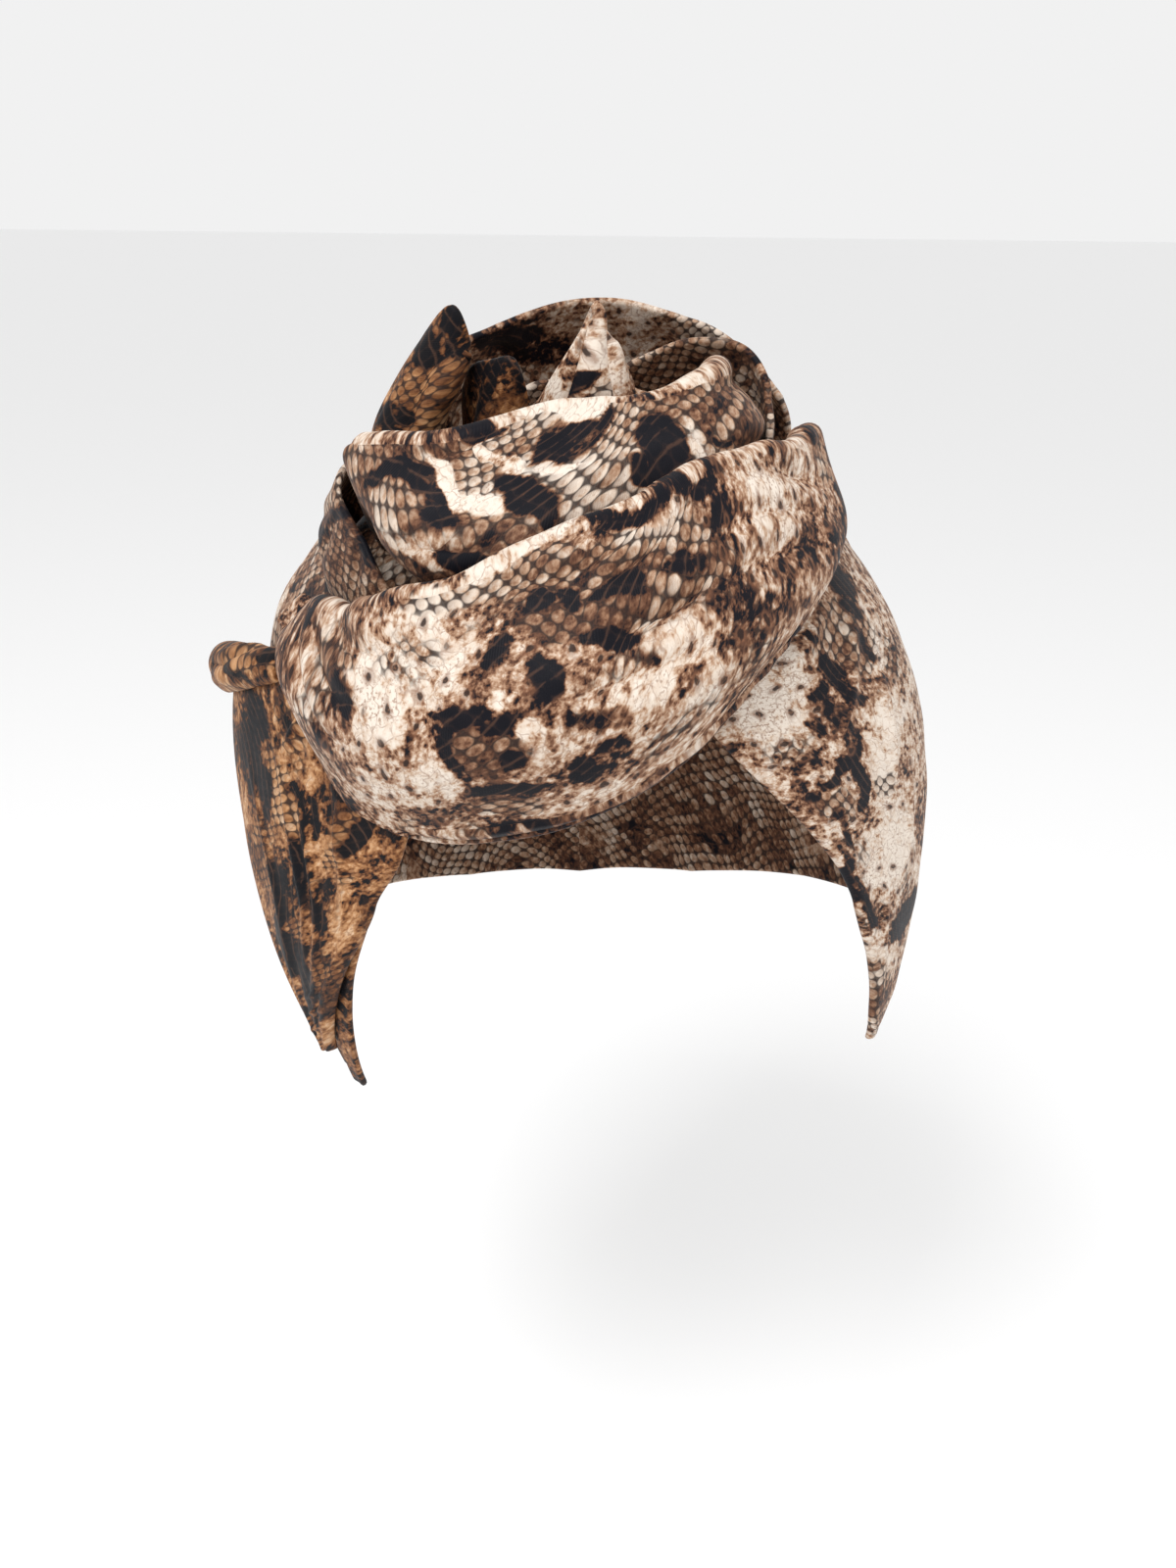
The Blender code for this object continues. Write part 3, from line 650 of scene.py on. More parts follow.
# Left edge strip: the narrow folded edge of the under layer, along the left of the front opening.
# It is a strip of the copper dyed jersey turned double, and the left band lies over its rear edge.
STRIP_PLEAT = 0.0004
STRIP_PLEATS = 2
LEFT_EDGE_STRIP = (
    BAND_COLUMNS,
    (-33, 75, -44, 74, 0),
    (-40, 82, -51, 82, 0),
    (-47, 89, -58, 89, 0),
    (-54, 97, -65, 97, 0),
    (-58, 104, -70, 104, 0),
    (-62, 112, -74, 111, 0),
    (-67, 120, -75, 117, 0),
)
LEFT_STRIP_PRINT = (
    PATCH_COLUMNS,
    (24, 4, 11, 5, -9, 0.3, 1, 0), (44, 4, 9, 3, 3, 0.14, 0.4, 0), (71, 3, 15, 3, 6, 0.45, 0.5, 0),
)


def strip_relief(along, across, down, share):
    """Two fine pleats along the strip that gather to its lower tip."""
    return STRIP_PLEAT * (1 - np.cos(2 * np.pi * STRIP_PLEATS * share)) * ease(down, 0.1, 0.8)


side_band("left_edge_strip", LEFT_EDGE_STRIP, strip_relief, LEFT_STRIP_PRINT,
          snake_jersey("left_strip_jersey", COPPER_DYES, (15.0, 64.0), 4.2, 3.0, 0.3),
          base=(0.50, 0.35, 0.15), layers=1, rows=120, cols=34)


# Left band: the wide strip of copper dyed jersey that wraps down the left side, two layers above the cap.
# Its pleats are wide at the top and are drawn together to a narrow gathered tip at the lower end.
LEFT_PUFF = 0.0035
LEFT_HEM = 0.0045
BAND_PLEAT = 0.0011
BAND_PLEATS = 4
FINE_PLEAT = 0.0003
FINE_PLEATS = 9
LEFT_PUFFS = (PUFF_COLUMNS, (-86, 46, 79, 44, 1.0))
LEFT_BAND = (
    BAND_COLUMNS,
    (-44, 63.5, -106, 76.5, 0),
    (-38, 74, -110, 83, 0),
    (-40, 84, -108, 89, 0),
    (-46, 90, -102, 97, 0),
    (-54, 97, -95, 103, 0),
    (-61, 105, -88, 108, 0),
    (-67, 112, -81, 113, 0),
)
LEFT_BAND_PRINT = (
    PATCH_COLUMNS,
    (13, 56, 8, 7, 60, 0.12, 0.4, 0), (8, 41, 6, 3, -17, 0.3, 0.8, 0), (18, 29, 12, 8, 32, 0.74, 0.35, 0.3),
    (12, 34, 9, 2, 38, 0.66, 0.4, 0.1), (41, 33, 17, 3, -23, 0.1, 0.3, 0),
    (34, 29, 7, 2, -42, 0.12, 0.5, 0), (24, 64, 12, 6, -47, 0.36, 1, 0), (28, 53, 12, 4, -37, 0.14, 0.5, 0),
    (31, 41, 12, 4, -36, 0.72, 0.9, 0), (35, 18, 11, 4, 9, 0.62, 1, 0), (48, 54, 12, 5, -54, 0.6, 0.8, 0),
    (60, 18, 13, 2, -28, 0.12, 0.4, 0), (66, 27, 15, 3, -38, 0.66, 0.8, 0),
    (55, 10, 13, 2, -2, 0.72, 0.5, 0.1), (34, 13, 6, 2, 26, 0.2, 0.7, 0), (85, 3, 15, 4, -28, 0.55, 0.8, 0),
    (58, 38, 13, 3, -36, 0.2, 0.6, 0), (73, 29, 14, 6, -70, 0.16, 0.6, 0),
    (84, 15, 12, 3, -25, 0.2, 0.6, 0),
)
LEFT_BAND_CREASES = (
    CREASE_COLUMNS,
    (20, 66, 86, 20, 1.8, 1.2), (10, 50, 82, 14, 1.8, 1.4), (22, 39, 88, 5, 1.7, 1.3),
    (12, 28, 70, 4, 1.8, 1.2), (6, 28, 20, 44, 1.8, 1.4), (8, 25, 20, 34, 1.5, 1.3),
    (10, 21, 23, 26, 1.5, 1.3), (22, 20, 52, 17, 1.8, 1.0), (86, 1, 90, 16, 1.2, 0.8),
    (92, 1, 96, 14, 1.2, 0.9), (99, 1, 102, 12, 1.2, 0.9),
)


def left_rise(turn, fall):
    """How far the left band stands away from the cap."""
    return LEFT_PUFF * puffed(LEFT_PUFFS, turn, fall)


def left_relief(along, across, down, share):
    """Pleats that deepen towards the tip, pull creases, and a turned front edge."""
    waves = (1 - np.cos(2 * np.pi * BAND_PLEATS * share)) / 2
    pleats = BAND_PLEAT * (0.35 + 0.65 * down) * waves ** 0.8
    fine = FINE_PLEAT * (1 - np.cos(2 * np.pi * FINE_PLEATS * share + 1.5 * down)) * ease(down, 0.35, 0.8)
    hem = np.clip(turned_hem(across, LEFT_HEM, BAND_HEM_RISE), 0, None)
    return pleats + fine + hem + np.clip(creased(along, across, LEFT_BAND_CREASES), 0, None)


side_band("left_band", LEFT_BAND, left_relief, LEFT_BAND_PRINT,
          snake_jersey("left_band_jersey", COPPER_DYES, (40.0, 90.0), 4.4, 3.2, 1.2),
          base=(0.55, 0.35, 0.1), layers=2, rows=130, cols=140, rise=left_rise)


# Tuck roll: the rolled end of the left band, turned over its own top edge and tucked under
# the rosette. A loose hollow roll of jersey with small pinched creases along it.
ROLL_WIDTH = 0.0074
ROLL_STAND = 0.0037
ROLL_SWELLS = (("share", "turns", "start"), (0.10, 21, 0.8), (0.05, 47, 0.0))
TUCK_ROLL = (
    ("turn", "fall", "width", "stand"),
    (-103, 77, 0.60, 0.55),
    (-96, 75.8, 0.95, 0.90),
    (-89, 74.2, 1.05, 1.05),
    (-81, 71.8, 1.00, 0.95),
    (-75, 69.8, 0.85, 0.65),
    (-69, 67.8, 0.60, 0.20),
)
ROLL_CREASES = (
    CREASE_COLUMNS,
    (68, 8, 22, 5, 1.3, 0.9), (58, 3, 26, 9, 1.2, 0.8), (66, 12, 34, 10, 1.1, 0.7),
    (20, 10, 2, 6, 1.2, 0.7),
)
ROLL_PRINT = (
    PATCH_COLUMNS,
    (59, 6, 22, 3, -8, 0.58, 0.9, 0), (68, 6, 5, 2, -13, 0.16, 0.6, 0), (54, 3, 9, 2, -18, 0.24, 0.7, 0),
)
ROLL_STEPS_ALONG = 110
ROLL_STEPS_ROUND = 64
roll_places = np.linspace(0, 1, ROLL_STEPS_ALONG)
roll_turn, roll_fall, roll_width, roll_stand = (
    smooth(column(TUCK_ROLL, key), roll_places)[:, None] for key in TUCK_ROLL[0])
roll_bend = np.radians(np.linspace(0, 180, ROLL_STEPS_ROUND))
roll_swell = np.ones((len(roll_places), 1))
for share, turns, start in ROLL_SWELLS[1:]:
    roll_swell += share * np.sin(roll_places * turns + start)[:, None]
roll_degrees = np.degrees(roll_width * ROLL_WIDTH / (2 * CROWN_HEIGHT))
roll_seat = cap_rise(roll_turn, roll_fall) + 3 * LAYER + left_rise(roll_turn, roll_fall)
roll_rise = roll_seat + GAP + roll_stand * ROLL_STAND * np.sin(roll_bend) * roll_swell
roll_outer = head_point(roll_turn, roll_fall + roll_degrees * np.cos(roll_bend), roll_rise)
roll_along, roll_across = measure(roll_outer)
roll_relief = creased(roll_along, roll_across, ROLL_CREASES)
roll_outer = roll_outer + outward(roll_outer) * roll_relief[..., None]
roll_inner = roll_outer - outward(roll_outer) * CLOTH
roll_piece = sew("tuck_roll_cloth", roll_outer, roll_inner, roll_along, roll_across,
                 printed(roll_along, roll_across, base=(0.56, 0.3, 0.1), patches=ROLL_PRINT),
                 snake_jersey("tuck_roll_jersey", COPPER_DYES, (12.0, 33.0), 4.2, 3.0, 0.8))
dress(roll_piece, "tuck_roll")


# Front wrap: the broad fold that crosses the front from the left side and climbs behind the rosette
# on the right. Its lower edge is a turned, blind stitched hem and its top edge rolls into the coil.
ROSE_RADIUS = 0.080
ROSE_HEIGHT = 0.040
ROSE_LEAN = 26.0
ROSE_SIDE = -0.008
ROSE_FORWARD = 0.0357
ROSE_SINK = 0.0031
RIM_ROLL = 0.0022
RIM_TUCK = 0.0070
HEM_FOLD = 0.0038
HEM_RISE = 0.0014
HEM_PRINT = (0.36, 1.0, 0.0)
HEM_BLUR = 0.0002
HEM_RISES = (0.055, 0.095)
HEM_DARKENS = (0.105, 0.125)
FOLD_SLACK = 0.0007
RIM_STEPS = 7
HEAD_HALVINGS = 32
SEAT_HALVINGS = 30
SEAT_DEPTH = 1.6
ROLLED_NET = 0.1
COIL_CENTRE = (0.0, 0.0)
FOLD_COLUMNS = ("turn", "foot_out", "belly_out", "belly_up", "rim_out", "rim_up")
FRONT_WRAP = (
    FOLD_COLUMNS,
    (-90, 0.83, 0.87, -0.78, 0.80, -0.62),
    (-79, 0.86, 0.91, -0.62, 0.80, -0.34),
    (-62, 0.88, 0.93, -0.52, 0.77, -0.08),
    (-48, 0.90, 0.945, -0.40, 0.74, 0.22),
    (-34, 0.905, 0.955, -0.26, 0.69, 0.43),
    (-19, 0.90, 0.94, -0.05, 0.58, 0.62),
    (-4, 0.865, 0.89, 0.08, 0.52, 0.74),
    (11, 0.815, 0.83, 0.18, 0.46, 0.75),
    (30, 0.735, 0.755, 0.25, 0.41, 0.75),
    (48, 0.675, 0.70, 0.26, 0.40, 0.75),
    (65, 0.655, 0.70, 0.19, 0.44, 0.70),
    (78, 0.675, 0.715, 0.14, 0.50, 0.64),
    (92, 0.715, 0.735, 0.06, 0.60, 0.50),
    (106, 0.745, 0.755, -0.04, 0.70, 0.37),
    (118, 0.78, 0.78, -0.25, 0.76, 0.05),
)
FRONT_WRAP_PRINT = (
    PATCH_COLUMNS,
    (116, 57, 36, 8, -28, 0.60, 1, 0), (104, 54, 11, 4, -9, 0.5, 0.9, 0),
    (122, 68, 19, 2, -30, 0.1, 0.5, 0), (145, 54, 16, 2, -37, 0.12, 0.4, 0),
    (93, 71, 18, 2, 11, 0.93, 0.2, 0), (88, 69, 7, 2, -3, 0.9, 0.2, 0), (127, 60, 16, 2, -32, 0.74, 0.9, 0),
    (109, 59, 4, 2, -15, 0.18, 0.5, 0), (101, 59, 4, 2, -3, 0.2, 0.5, 0), (121, 55, 6, 2, -32, 0.2, 0.5, 0),
    (136, 47, 5, 2, -33, 0.2, 0.5, 0), (172, 34, 28, 11, -25, 0.57, 0.25, 0.8),
    (153, 42, 8, 2, -34, 0.4, 0.4, 0.6), (148, 28, 17, 3, -18, 0.56, 0.2, 0.7),
    (167, 23, 9, 3, -12, 0.44, 0.3, 0.5), (73, 67, 6, 2, 20, 0.14, 0.4, 0), (80, 63, 13, 3, 15, 0.74, 1, 0),
    (43, 34, 18, 2, 31, 0.46, 1, 0), (54, 36, 7, 3, 10, 0.18, 0.6, 0), (71, 46, 15, 12, 56, 0.88, 0.2, 0.6),
    (77, 53, 8, 4, 10, 0.76, 0.5, 0.2), (67, 37, 8, 6, -85, 0.8, 0.2, 0.6), (92, 32, 9, 6, -1, 0.5, 1, 0),
    (86, 39, 8, 2, 4, 0.08, 0.4, 0), (96, 36, 5, 2, -1, 0.1, 0.5, 0), (84, 32, 6, 2, 84, 0.12, 0.5, 0),
    (98, 29, 3, 2, 5, 0.14, 0.5, 0), (103, 44, 6, 3, -54, 0.08, 0.4, 0), (91, 50, 3, 2, -10, 0.18, 0.5, 0),
    (94, 41, 3, 2, 3, 0.92, 0.1, 0), (101, 35, 4, 2, -22, 0.92, 0.1, 0), (95, 20, 9, 2, -10, 0.1, 0.4, 0),
    (94, 14, 8, 3, -22, 0.62, 1, 0), (101, 5, 6, 2, -27, 0.14, 0.5, 0), (77, 22, 9, 8, -1, 0.86, 0.15, 0.4),
    (117, 45, 8, 2, -37, 0.1, 0.4, 0), (122, 37, 3, 2, -23, 0.14, 0.5, 0),
    (121, 30, 13, 7, -35, 0.62, 0.2, 0.4), (113, 31, 6, 2, -24, 0.4, 0.6, 0),
    (130, 27, 4, 2, -15, 0.42, 0.3, 0.4), (110, 21, 3, 3, 32, 0.16, 0.4, 0),
    (115, 24, 3, 2, -32, 0.3, 0.4, 0), (66, 21, 14, 7, 68, 0.78, 0.2, 0.7),
    (120, 20, 7, 5, -9, 0.64, 0.2, 0.5), (199, 25, 8, 5, -41, 0.68, 0.8, 0),
)
FRONT_WRAP_CREASES = (
    CREASE_COLUMNS,
    (113, 47, 146, 35, 3.4, 2.3), (142, 37, 180, 17, 3.2, 2.1), (118, 34, 157, 21, 3.0, 1.0),
    (172, 40, 197, 19, 3.0, 1.5), (137, 48, 197, 14, 3.0, 1.4), (198, 24, 222, 34, 3.0, 1.1),
    (88, 66, 122, 60, 3.2, 1.2), (25, 20, 56, 26, 1.9, 1.4), (29, 26, 62, 38, 2.1, 1.4),
    (34, 34, 74, 55, 2.7, 1.3), (73, 47, 86, 23, 4.0, 1.0), (96, 60, 150, 52, 2.4, 0.8),
    (100, 40, 150, 28, 2.2, 0.7),
)


def head_place(points):
    """Turn, fall and rise of points: the inverse of head_point, found by halving the range of rise."""
    ahead = HEAD_SHIFT - points[..., 1]
    above = points[..., 2] + CROWN_HEIGHT
    low = np.full(ahead.shape, -HEAD_BREADTH / 3)
    high = np.full(ahead.shape, HEAD_BREADTH)
    for _ in range(HEAD_HALVINGS):
        rise = (low + high) / 2
        breadth, depth, height = head_axes(rise, ahead > 0, above > 0)
        ring = np.hypot(points[..., 0] / breadth, ahead / depth)
        level = np.abs(above / height)
        outside = ring ** HEAD_FULLNESS + level ** HEAD_FULLNESS > 1
        low = np.where(outside, rise, low)
        high = np.where(outside, high, rise)
    turn = np.degrees(np.arctan2(points[..., 0] / breadth, ahead / depth))
    steep = HEAD_FULLNESS / 2
    fall = np.degrees(np.arctan2(ring ** steep, np.sign(above) * level ** steep))
    return turn, fall, rise


def cap_seat(turn, fall):
    """Where a fold that lies straight on the cap begins."""
    return cap_rise(turn, fall) + LAYER


def band_seat(turn, fall):
    """Where a fold that lies over the bands begins: two layers up on the right, three on the left."""
    left_layers = LAYER * np.clip((-10 - np.asarray(turn)) / 15, 0, 1)
    return cap_rise(turn, fall) + 2 * LAYER + left_layers + left_rise(turn, fall)


def rose_point(centre, turn, out, up):
    """Point of the rosette: turn degrees round a centre, out from it and up from the seat."""
    lean = np.radians(ROSE_LEAN)
    up_dir = np.array([0, -np.sin(lean), np.cos(lean)])
    front_dir = np.array([0, -np.cos(lean), -np.sin(lean)])
    across_dir = np.array([1.0, 0, 0])
    ring = np.hypot(ROSE_SIDE / (HEAD_BREADTH / 2), (ROSE_FORWARD + HEAD_SHIFT) / HEAD_FRONT)
    level = (1 - ring ** HEAD_FULLNESS) ** (1 / HEAD_FULLNESS)
    seat = np.array([ROSE_SIDE, -ROSE_FORWARD, CROWN_HEIGHT * (level - 1) - ROSE_SINK])
    turn = np.radians(turn)
    across = centre[0] * ROSE_RADIUS + out * np.sin(turn)
    front = centre[1] * ROSE_RADIUS + out * np.cos(turn)
    across, front, up = np.broadcast_arrays(across, front, up)
    return seat + across[..., None] * across_dir + front[..., None] * front_dir + up[..., None] * up_dir


def seat_height(centre, turn, out, seat_rise):
    """Height at which the rosette's foot meets the surface below it, by halving."""
    low = np.full(np.shape(out), -SEAT_DEPTH * ROSE_RADIUS)
    high = np.full(np.shape(out), ROSE_HEIGHT)
    for _ in range(SEAT_HALVINGS):
        height = (low + high) / 2
        place = head_place(rose_point(centre, turn, out, height))
        inside = place[2] < seat_rise(place[0], place[1])
        low = np.where(inside, height, low)
        high = np.where(inside, high, height)
    return height


def facing_head(grid, normals):
    """How much the cloth lies flat on the head at each point: 1 flat, 0 standing up."""
    turn, fall, rise = head_place(grid)
    away = unit(head_point(turn, fall, rise + CLOTH) - grid)
    return np.clip(np.sum(away * normals, axis=-1), 0, 1)


def clear_of(grid, seat_rise, extra):
    """Lifts the points of a grid that would sink into the surface below it."""
    turn, fall, rise = head_place(grid)
    need = seat_rise(turn, fall) + extra
    lifted = head_point(turn, fall, need)
    return np.where((rise < need)[..., None], lifted, grid)


def fold_profile(table, turns, foot_up, roll, steps):
    """Grid of (out, up) from the foot over the belly to the rim. A rolled rim goes on round an arc
    of radius roll and straight down into the hollow."""
    foot = column(table, "foot_out") * ROSE_RADIUS
    belly = column(table, "belly_out") * ROSE_RADIUS
    belly_up = column(table, "belly_up") * ROSE_HEIGHT
    rim = column(table, "rim_out") * ROSE_RADIUS
    rim_up = column(table, "rim_up") * ROSE_HEIGHT
    stations = ((foot, foot_up), (belly, belly_up), (rim, rim_up - roll / 2))
    places = np.linspace(0, 1, len(turns))
    outs = np.stack([smooth(out, places) for out, _ in stations])
    ups = np.stack([smooth(up, places) for _, up in stations])
    climb = np.linspace(0, 1, 2 * steps + 1)
    out = np.stack([smooth(outs[:, i], climb) for i in range(len(turns))])
    up = np.stack([smooth(ups[:, i], climb) for i in range(len(turns))])
    if roll:
        start = np.arctan2(up[:, -1:] - up[:, -2:-1], out[:, -1:] - out[:, -2:-1])
        bend = start + (1.5 * np.pi - start) * np.linspace(0, 1, 2 * RIM_STEPS + 1)[1:]
        middle_out, middle_up = out[:, -1:] - roll * np.sin(start), up[:, -1:] + roll * np.cos(start)
        tuck = RIM_TUCK * np.linspace(0, 1, RIM_STEPS + 1)[1:]
        out = np.concatenate((out, middle_out + roll * np.sin(bend), middle_out - roll + 0 * tuck), axis=1)
        up = np.concatenate((up, middle_up - roll * np.cos(bend), middle_up - tuck), axis=1)
    return out, up


def coil_fold(name, table, centre, seat_rise, creases, patches, material, base, sections, steps,
              roll=0.0, hem=0.0):
    """One fold of the rosette, lofted round its centre through the rows of its table."""
    rows = column(table, "turn")
    foot_up = seat_height(centre, rows, column(table, "foot_out") * ROSE_RADIUS, seat_rise)
    turns = smooth(rows, np.linspace(0, 1, sections))
    out, up = fold_profile(table, turns, foot_up, roll, steps)
    outer = rose_point(centre, turns[:, None], out, up)
    along, across = measure(outer)
    relief = creased(along, across, creases) + slack(along, across, FOLD_SLACK, 1.1 + sections)
    relief = relief + turned_hem(across, HEM_FOLD, hem) * ease(along, *HEM_RISES)
    outer = outer + outward(outer) * relief[..., None]
    outer = clear_of(outer, seat_rise, CLOTH * facing_head(outer, outward(outer)))
    inner = clear_of(outer - outward(outer) * CLOTH, seat_rise, 0)
    marks = printed(along, across, base, patches)
    if hem:
        edge = 1 - ease(across, HEM_FOLD - 3 * HEM_BLUR, HEM_FOLD + HEM_BLUR)
        edge = edge * ease(along, *HEM_DARKENS)
        marks += edge[..., None] * (np.array(HEM_PRINT) - marks)
    if roll:
        marks[:, 2 * steps:, 1] *= ROLLED_NET
    piece = sew(name + "_cloth", outer, inner, along, across, marks, material)
    dress(piece, name)
    return piece


coil_fold("front_wrap", FRONT_WRAP, COIL_CENTRE, band_seat, FRONT_WRAP_CREASES, FRONT_WRAP_PRINT,
          snake_jersey("front_wrap_jersey", SNAKE_DYES, (5.0, 47.0), 5.0, 3.8),
          base=(0.56, 0.35, 0.35), sections=250, steps=42, roll=RIM_ROLL, hem=HEM_RISE)


# Second wrap: the next fold of the coil, just inside the front wrap, from its left side to its right.
# It is the same strip of jersey turned once more, with a soft rolled top edge.
REAR_CENTRE = (0.0, -0.5)
SECOND_WRAP = (
    FOLD_COLUMNS,
    (-58, 0.70, 0.80, 0.30, 0.775, 0.42),
    (-45, 0.72, 0.87, 0.30, 0.76, 0.58),
    (-34, 0.78, 0.96, 0.33, 0.735, 0.70),
    (-25, 0.84, 0.99, 0.36, 0.64, 0.75),
    (-14, 0.84, 0.95, 0.45, 0.53, 0.76),
    (0, 0.79, 0.855, 0.52, 0.475, 0.76),
    (18, 0.69, 0.715, 0.56, 0.475, 0.75),
    (42, 0.62, 0.65, 0.50, 0.47, 0.75),
    (60, 0.55, 0.57, 0.38, 0.45, 0.66),
    (74, 0.49, 0.50, 0.20, 0.44, 0.56),
)
SECOND_WRAP_CREASES = (
    CREASE_COLUMNS,
    (54, 22, 91, 15, 3.0, 1.3), (20, 36, 45, 56, 2.4, 1.2), (26, 27, 53, 23, 2.6, 1.1),
    (60, 27, 92, 18, 3.0, 1.2), (100, 34, 138, 22, 2.4, 1.5), (98, 22, 136, 11, 2.4, 1.4),
    (108, 42, 134, 34, 2.2, 1.2),
)
SECOND_WRAP_PRINT = (
    PATCH_COLUMNS,
    (68, 34, 45, 16, -40, 0.7, 1, 0), (71, 25, 15, 10, -42, 0.76, 1, 0), (23, 37, 13, 2, 36, 0.08, 0.4, 0),
    (37, 36, 7, 3, -52, 0.1, 0.4, 0), (28, 37, 5, 2, 23, 0.12, 0.5, 0), (26, 32, 10, 4, 23, 0.72, 1, 0),
    (33, 27, 10, 3, 1, 0.78, 0.5, 0.1), (39, 39, 17, 2, -30, 0.92, 0.25, 0),
    (54, 34, 10, 4, -57, 0.1, 0.5, 0), (58, 26, 5, 2, -63, 0.14, 0.6, 0),
    (53, 43, 19, 2, -37, 0.95, 0.15, 0), (40, 55, 7, 2, 25, 0.12, 0.4, 0), (63, 44, 9, 6, -41, 0.1, 0.5, 0),
    (70, 42, 4, 3, 25, 0.14, 0.6, 0), (65, 51, 21, 2, -29, 0.88, 0.3, 0),
    (87, 25, 10, 6, -65, 0.08, 0.4, 0), (79, 24, 5, 2, -53, 0.12, 0.5, 0), (96, 23, 7, 2, -87, 0.9, 0.5, 0),
    (104, 23, 5, 4, -87, 0.1, 0.5, 0), (111, 23, 13, 4, -13, 0.6, 1, 0),
    (35, 23, 9, 2, -18, 0.84, 0.4, 0.1), (44, 21, 7, 2, -19, 0.12, 0.3, 0), (6, 28, 6, 3, 36, 0.58, 0.9, 0),
)
coil_fold("second_wrap", SECOND_WRAP, REAR_CENTRE, cap_seat, SECOND_WRAP_CREASES, SECOND_WRAP_PRINT,
          snake_jersey("second_wrap_jersey", SNAKE_DYES, (88.0, 9.0), 5.2, 4.4, 0.3),
          base=(0.55, 0.85, 0.1), sections=180, steps=36, roll=RIM_ROLL)


# Left tunnel: a short standing loop of jersey between the tuck roll and the second wrap.
# It is open at its upper end, where the coil's dark hollow shows.
LEFT_TUNNEL = (
    FOLD_COLUMNS,
    (-122, 0.78, 0.79, -0.40, 0.74, -0.10),
    (-108, 0.80, 0.81, -0.35, 0.73, 0.06),
    (-96, 0.75, 0.76, -0.35, 0.705, 0.06),
    (-86, 0.69, 0.70, -0.35, 0.66, 0.03),
    (-76, 0.65, 0.655, -0.38, 0.63, -0.06),
    (-67, 0.62, 0.62, -0.42, 0.60, -0.20),
)
LEFT_TUNNEL_CREASES = (
    CREASE_COLUMNS,
    (8, 4, 30, 24, 2.2, 0.7), (26, 3, 34, 26, 2.0, 0.7), (48, 4, 44, 24, 2.2, 0.6),
)
LEFT_TUNNEL_PRINT = (
    PATCH_COLUMNS,
    (32, 12, 37, 9, 27, 0.58, 1, 0), (47, 20, 11, 2, -24, 0.16, 0.4, 0), (21, 14, 23, 3, 35, 0.3, 0.9, 0),
)
coil_fold("left_tunnel", LEFT_TUNNEL, COIL_CENTRE, cap_seat, LEFT_TUNNEL_CREASES, LEFT_TUNNEL_PRINT,
          snake_jersey("left_tunnel_jersey", SNAKE_DYES, (19.0, 70.0), 4.4, 3.4, 0.9),
          base=(0.64, 1.0, 0.0), sections=90, steps=30)


# Back petal: the tall fold that stands behind the coil like a collar and closes it at the back.
# One doubled layer of jersey, leaning a little outward, with its inner face showing.
BACK_PETAL = (
    FOLD_COLUMNS,
    (126, 0.78, 0.80, 0.00, 0.74, 0.28),
    (142, 0.80, 0.84, 0.08, 0.77, 0.42),
    (158, 0.80, 0.85, 0.12, 0.79, 0.49),
    (172, 0.80, 0.86, 0.12, 0.80, 0.52),
    (186, 0.79, 0.84, 0.10, 0.77, 0.49),
    (200, 0.78, 0.82, 0.03, 0.74, 0.43),
    (214, 0.77, 0.80, -0.05, 0.73, 0.36),
    (232, 0.76, 0.78, -0.25, 0.73, 0.02),
)
BACK_PETAL_CREASES = (
    CREASE_COLUMNS,
    (84, 38, 70, 20, 3.0, 1.2), (48, 38, 50, 14, 2.8, 1.1), (34, 38, 34, 16, 2.8, 1.0),
    (100, 34, 92, 12, 2.6, 0.9), (16, 30, 20, 10, 2.4, 0.8),
)
BACK_PETAL_PRINT = (
    PATCH_COLUMNS,
    (75, 29, 15, 5, 31, 0.3, 0.3, 0), (61, 36, 8, 4, 2, 0.62, 0.3, 0.2),
    (44, 28, 13, 9, 89, 0.72, 0.2, 0.8), (31, 32, 9, 6, -87, 0.76, 1, 0), (24, 26, 9, 4, -71, 0.1, 0.3, 0),
    (87, 36, 7, 4, 54, 0.35, 0.3, 0), (35, 17, 6, 4, -21, 0.6, 0.3, 0.2),
)
coil_fold("back_petal", BACK_PETAL, COIL_CENTRE, cap_seat, BACK_PETAL_CREASES, BACK_PETAL_PRINT,
          snake_jersey("back_petal_jersey", SNAKE_DYES, (51.0, 51.0), 4.4, 3.4, 0.2),
          base=(0.60, 0.4, 0.3), sections=160, steps=34)


# Right petal: the fold inside the back petal on the right, which turns inward behind the coil.
# A doubled layer of jersey with its rim standing above the front wrap.
RIGHT_PETAL = (
    FOLD_COLUMNS,
    (106, 0.54, 0.55, 0.00, 0.54, 0.32),
    (115, 0.58, 0.60, 0.10, 0.59, 0.42),
    (124, 0.63, 0.66, 0.15, 0.63, 0.54),
    (135, 0.67, 0.70, 0.15, 0.65, 0.60),
    (147, 0.65, 0.68, 0.10, 0.62, 0.56),
    (158, 0.62, 0.64, 0.00, 0.58, 0.44),
    (170, 0.58, 0.60, -0.10, 0.54, 0.32),
    (184, 0.54, 0.56, -0.12, 0.50, 0.30),
    (198, 0.52, 0.54, -0.12, 0.49, 0.30),
    (210, 0.50, 0.51, -0.20, 0.48, 0.15),
)
RIGHT_PETAL_CREASES = (
    CREASE_COLUMNS,
    (14, 26, 8, 6, 2.2, 0.8), (30, 30, 26, 8, 2.4, 0.9), (58, 30, 62, 8, 2.4, 0.9),
)
RIGHT_PETAL_PRINT = (
    PATCH_COLUMNS,
    (30, 22, 15, 3, -49, 0.7, 1, 0), (21, 29, 4, 2, 30, 0.82, 0.5, 0.1), (40, 30, 7, 3, -1, 0.62, 0.9, 0),
)
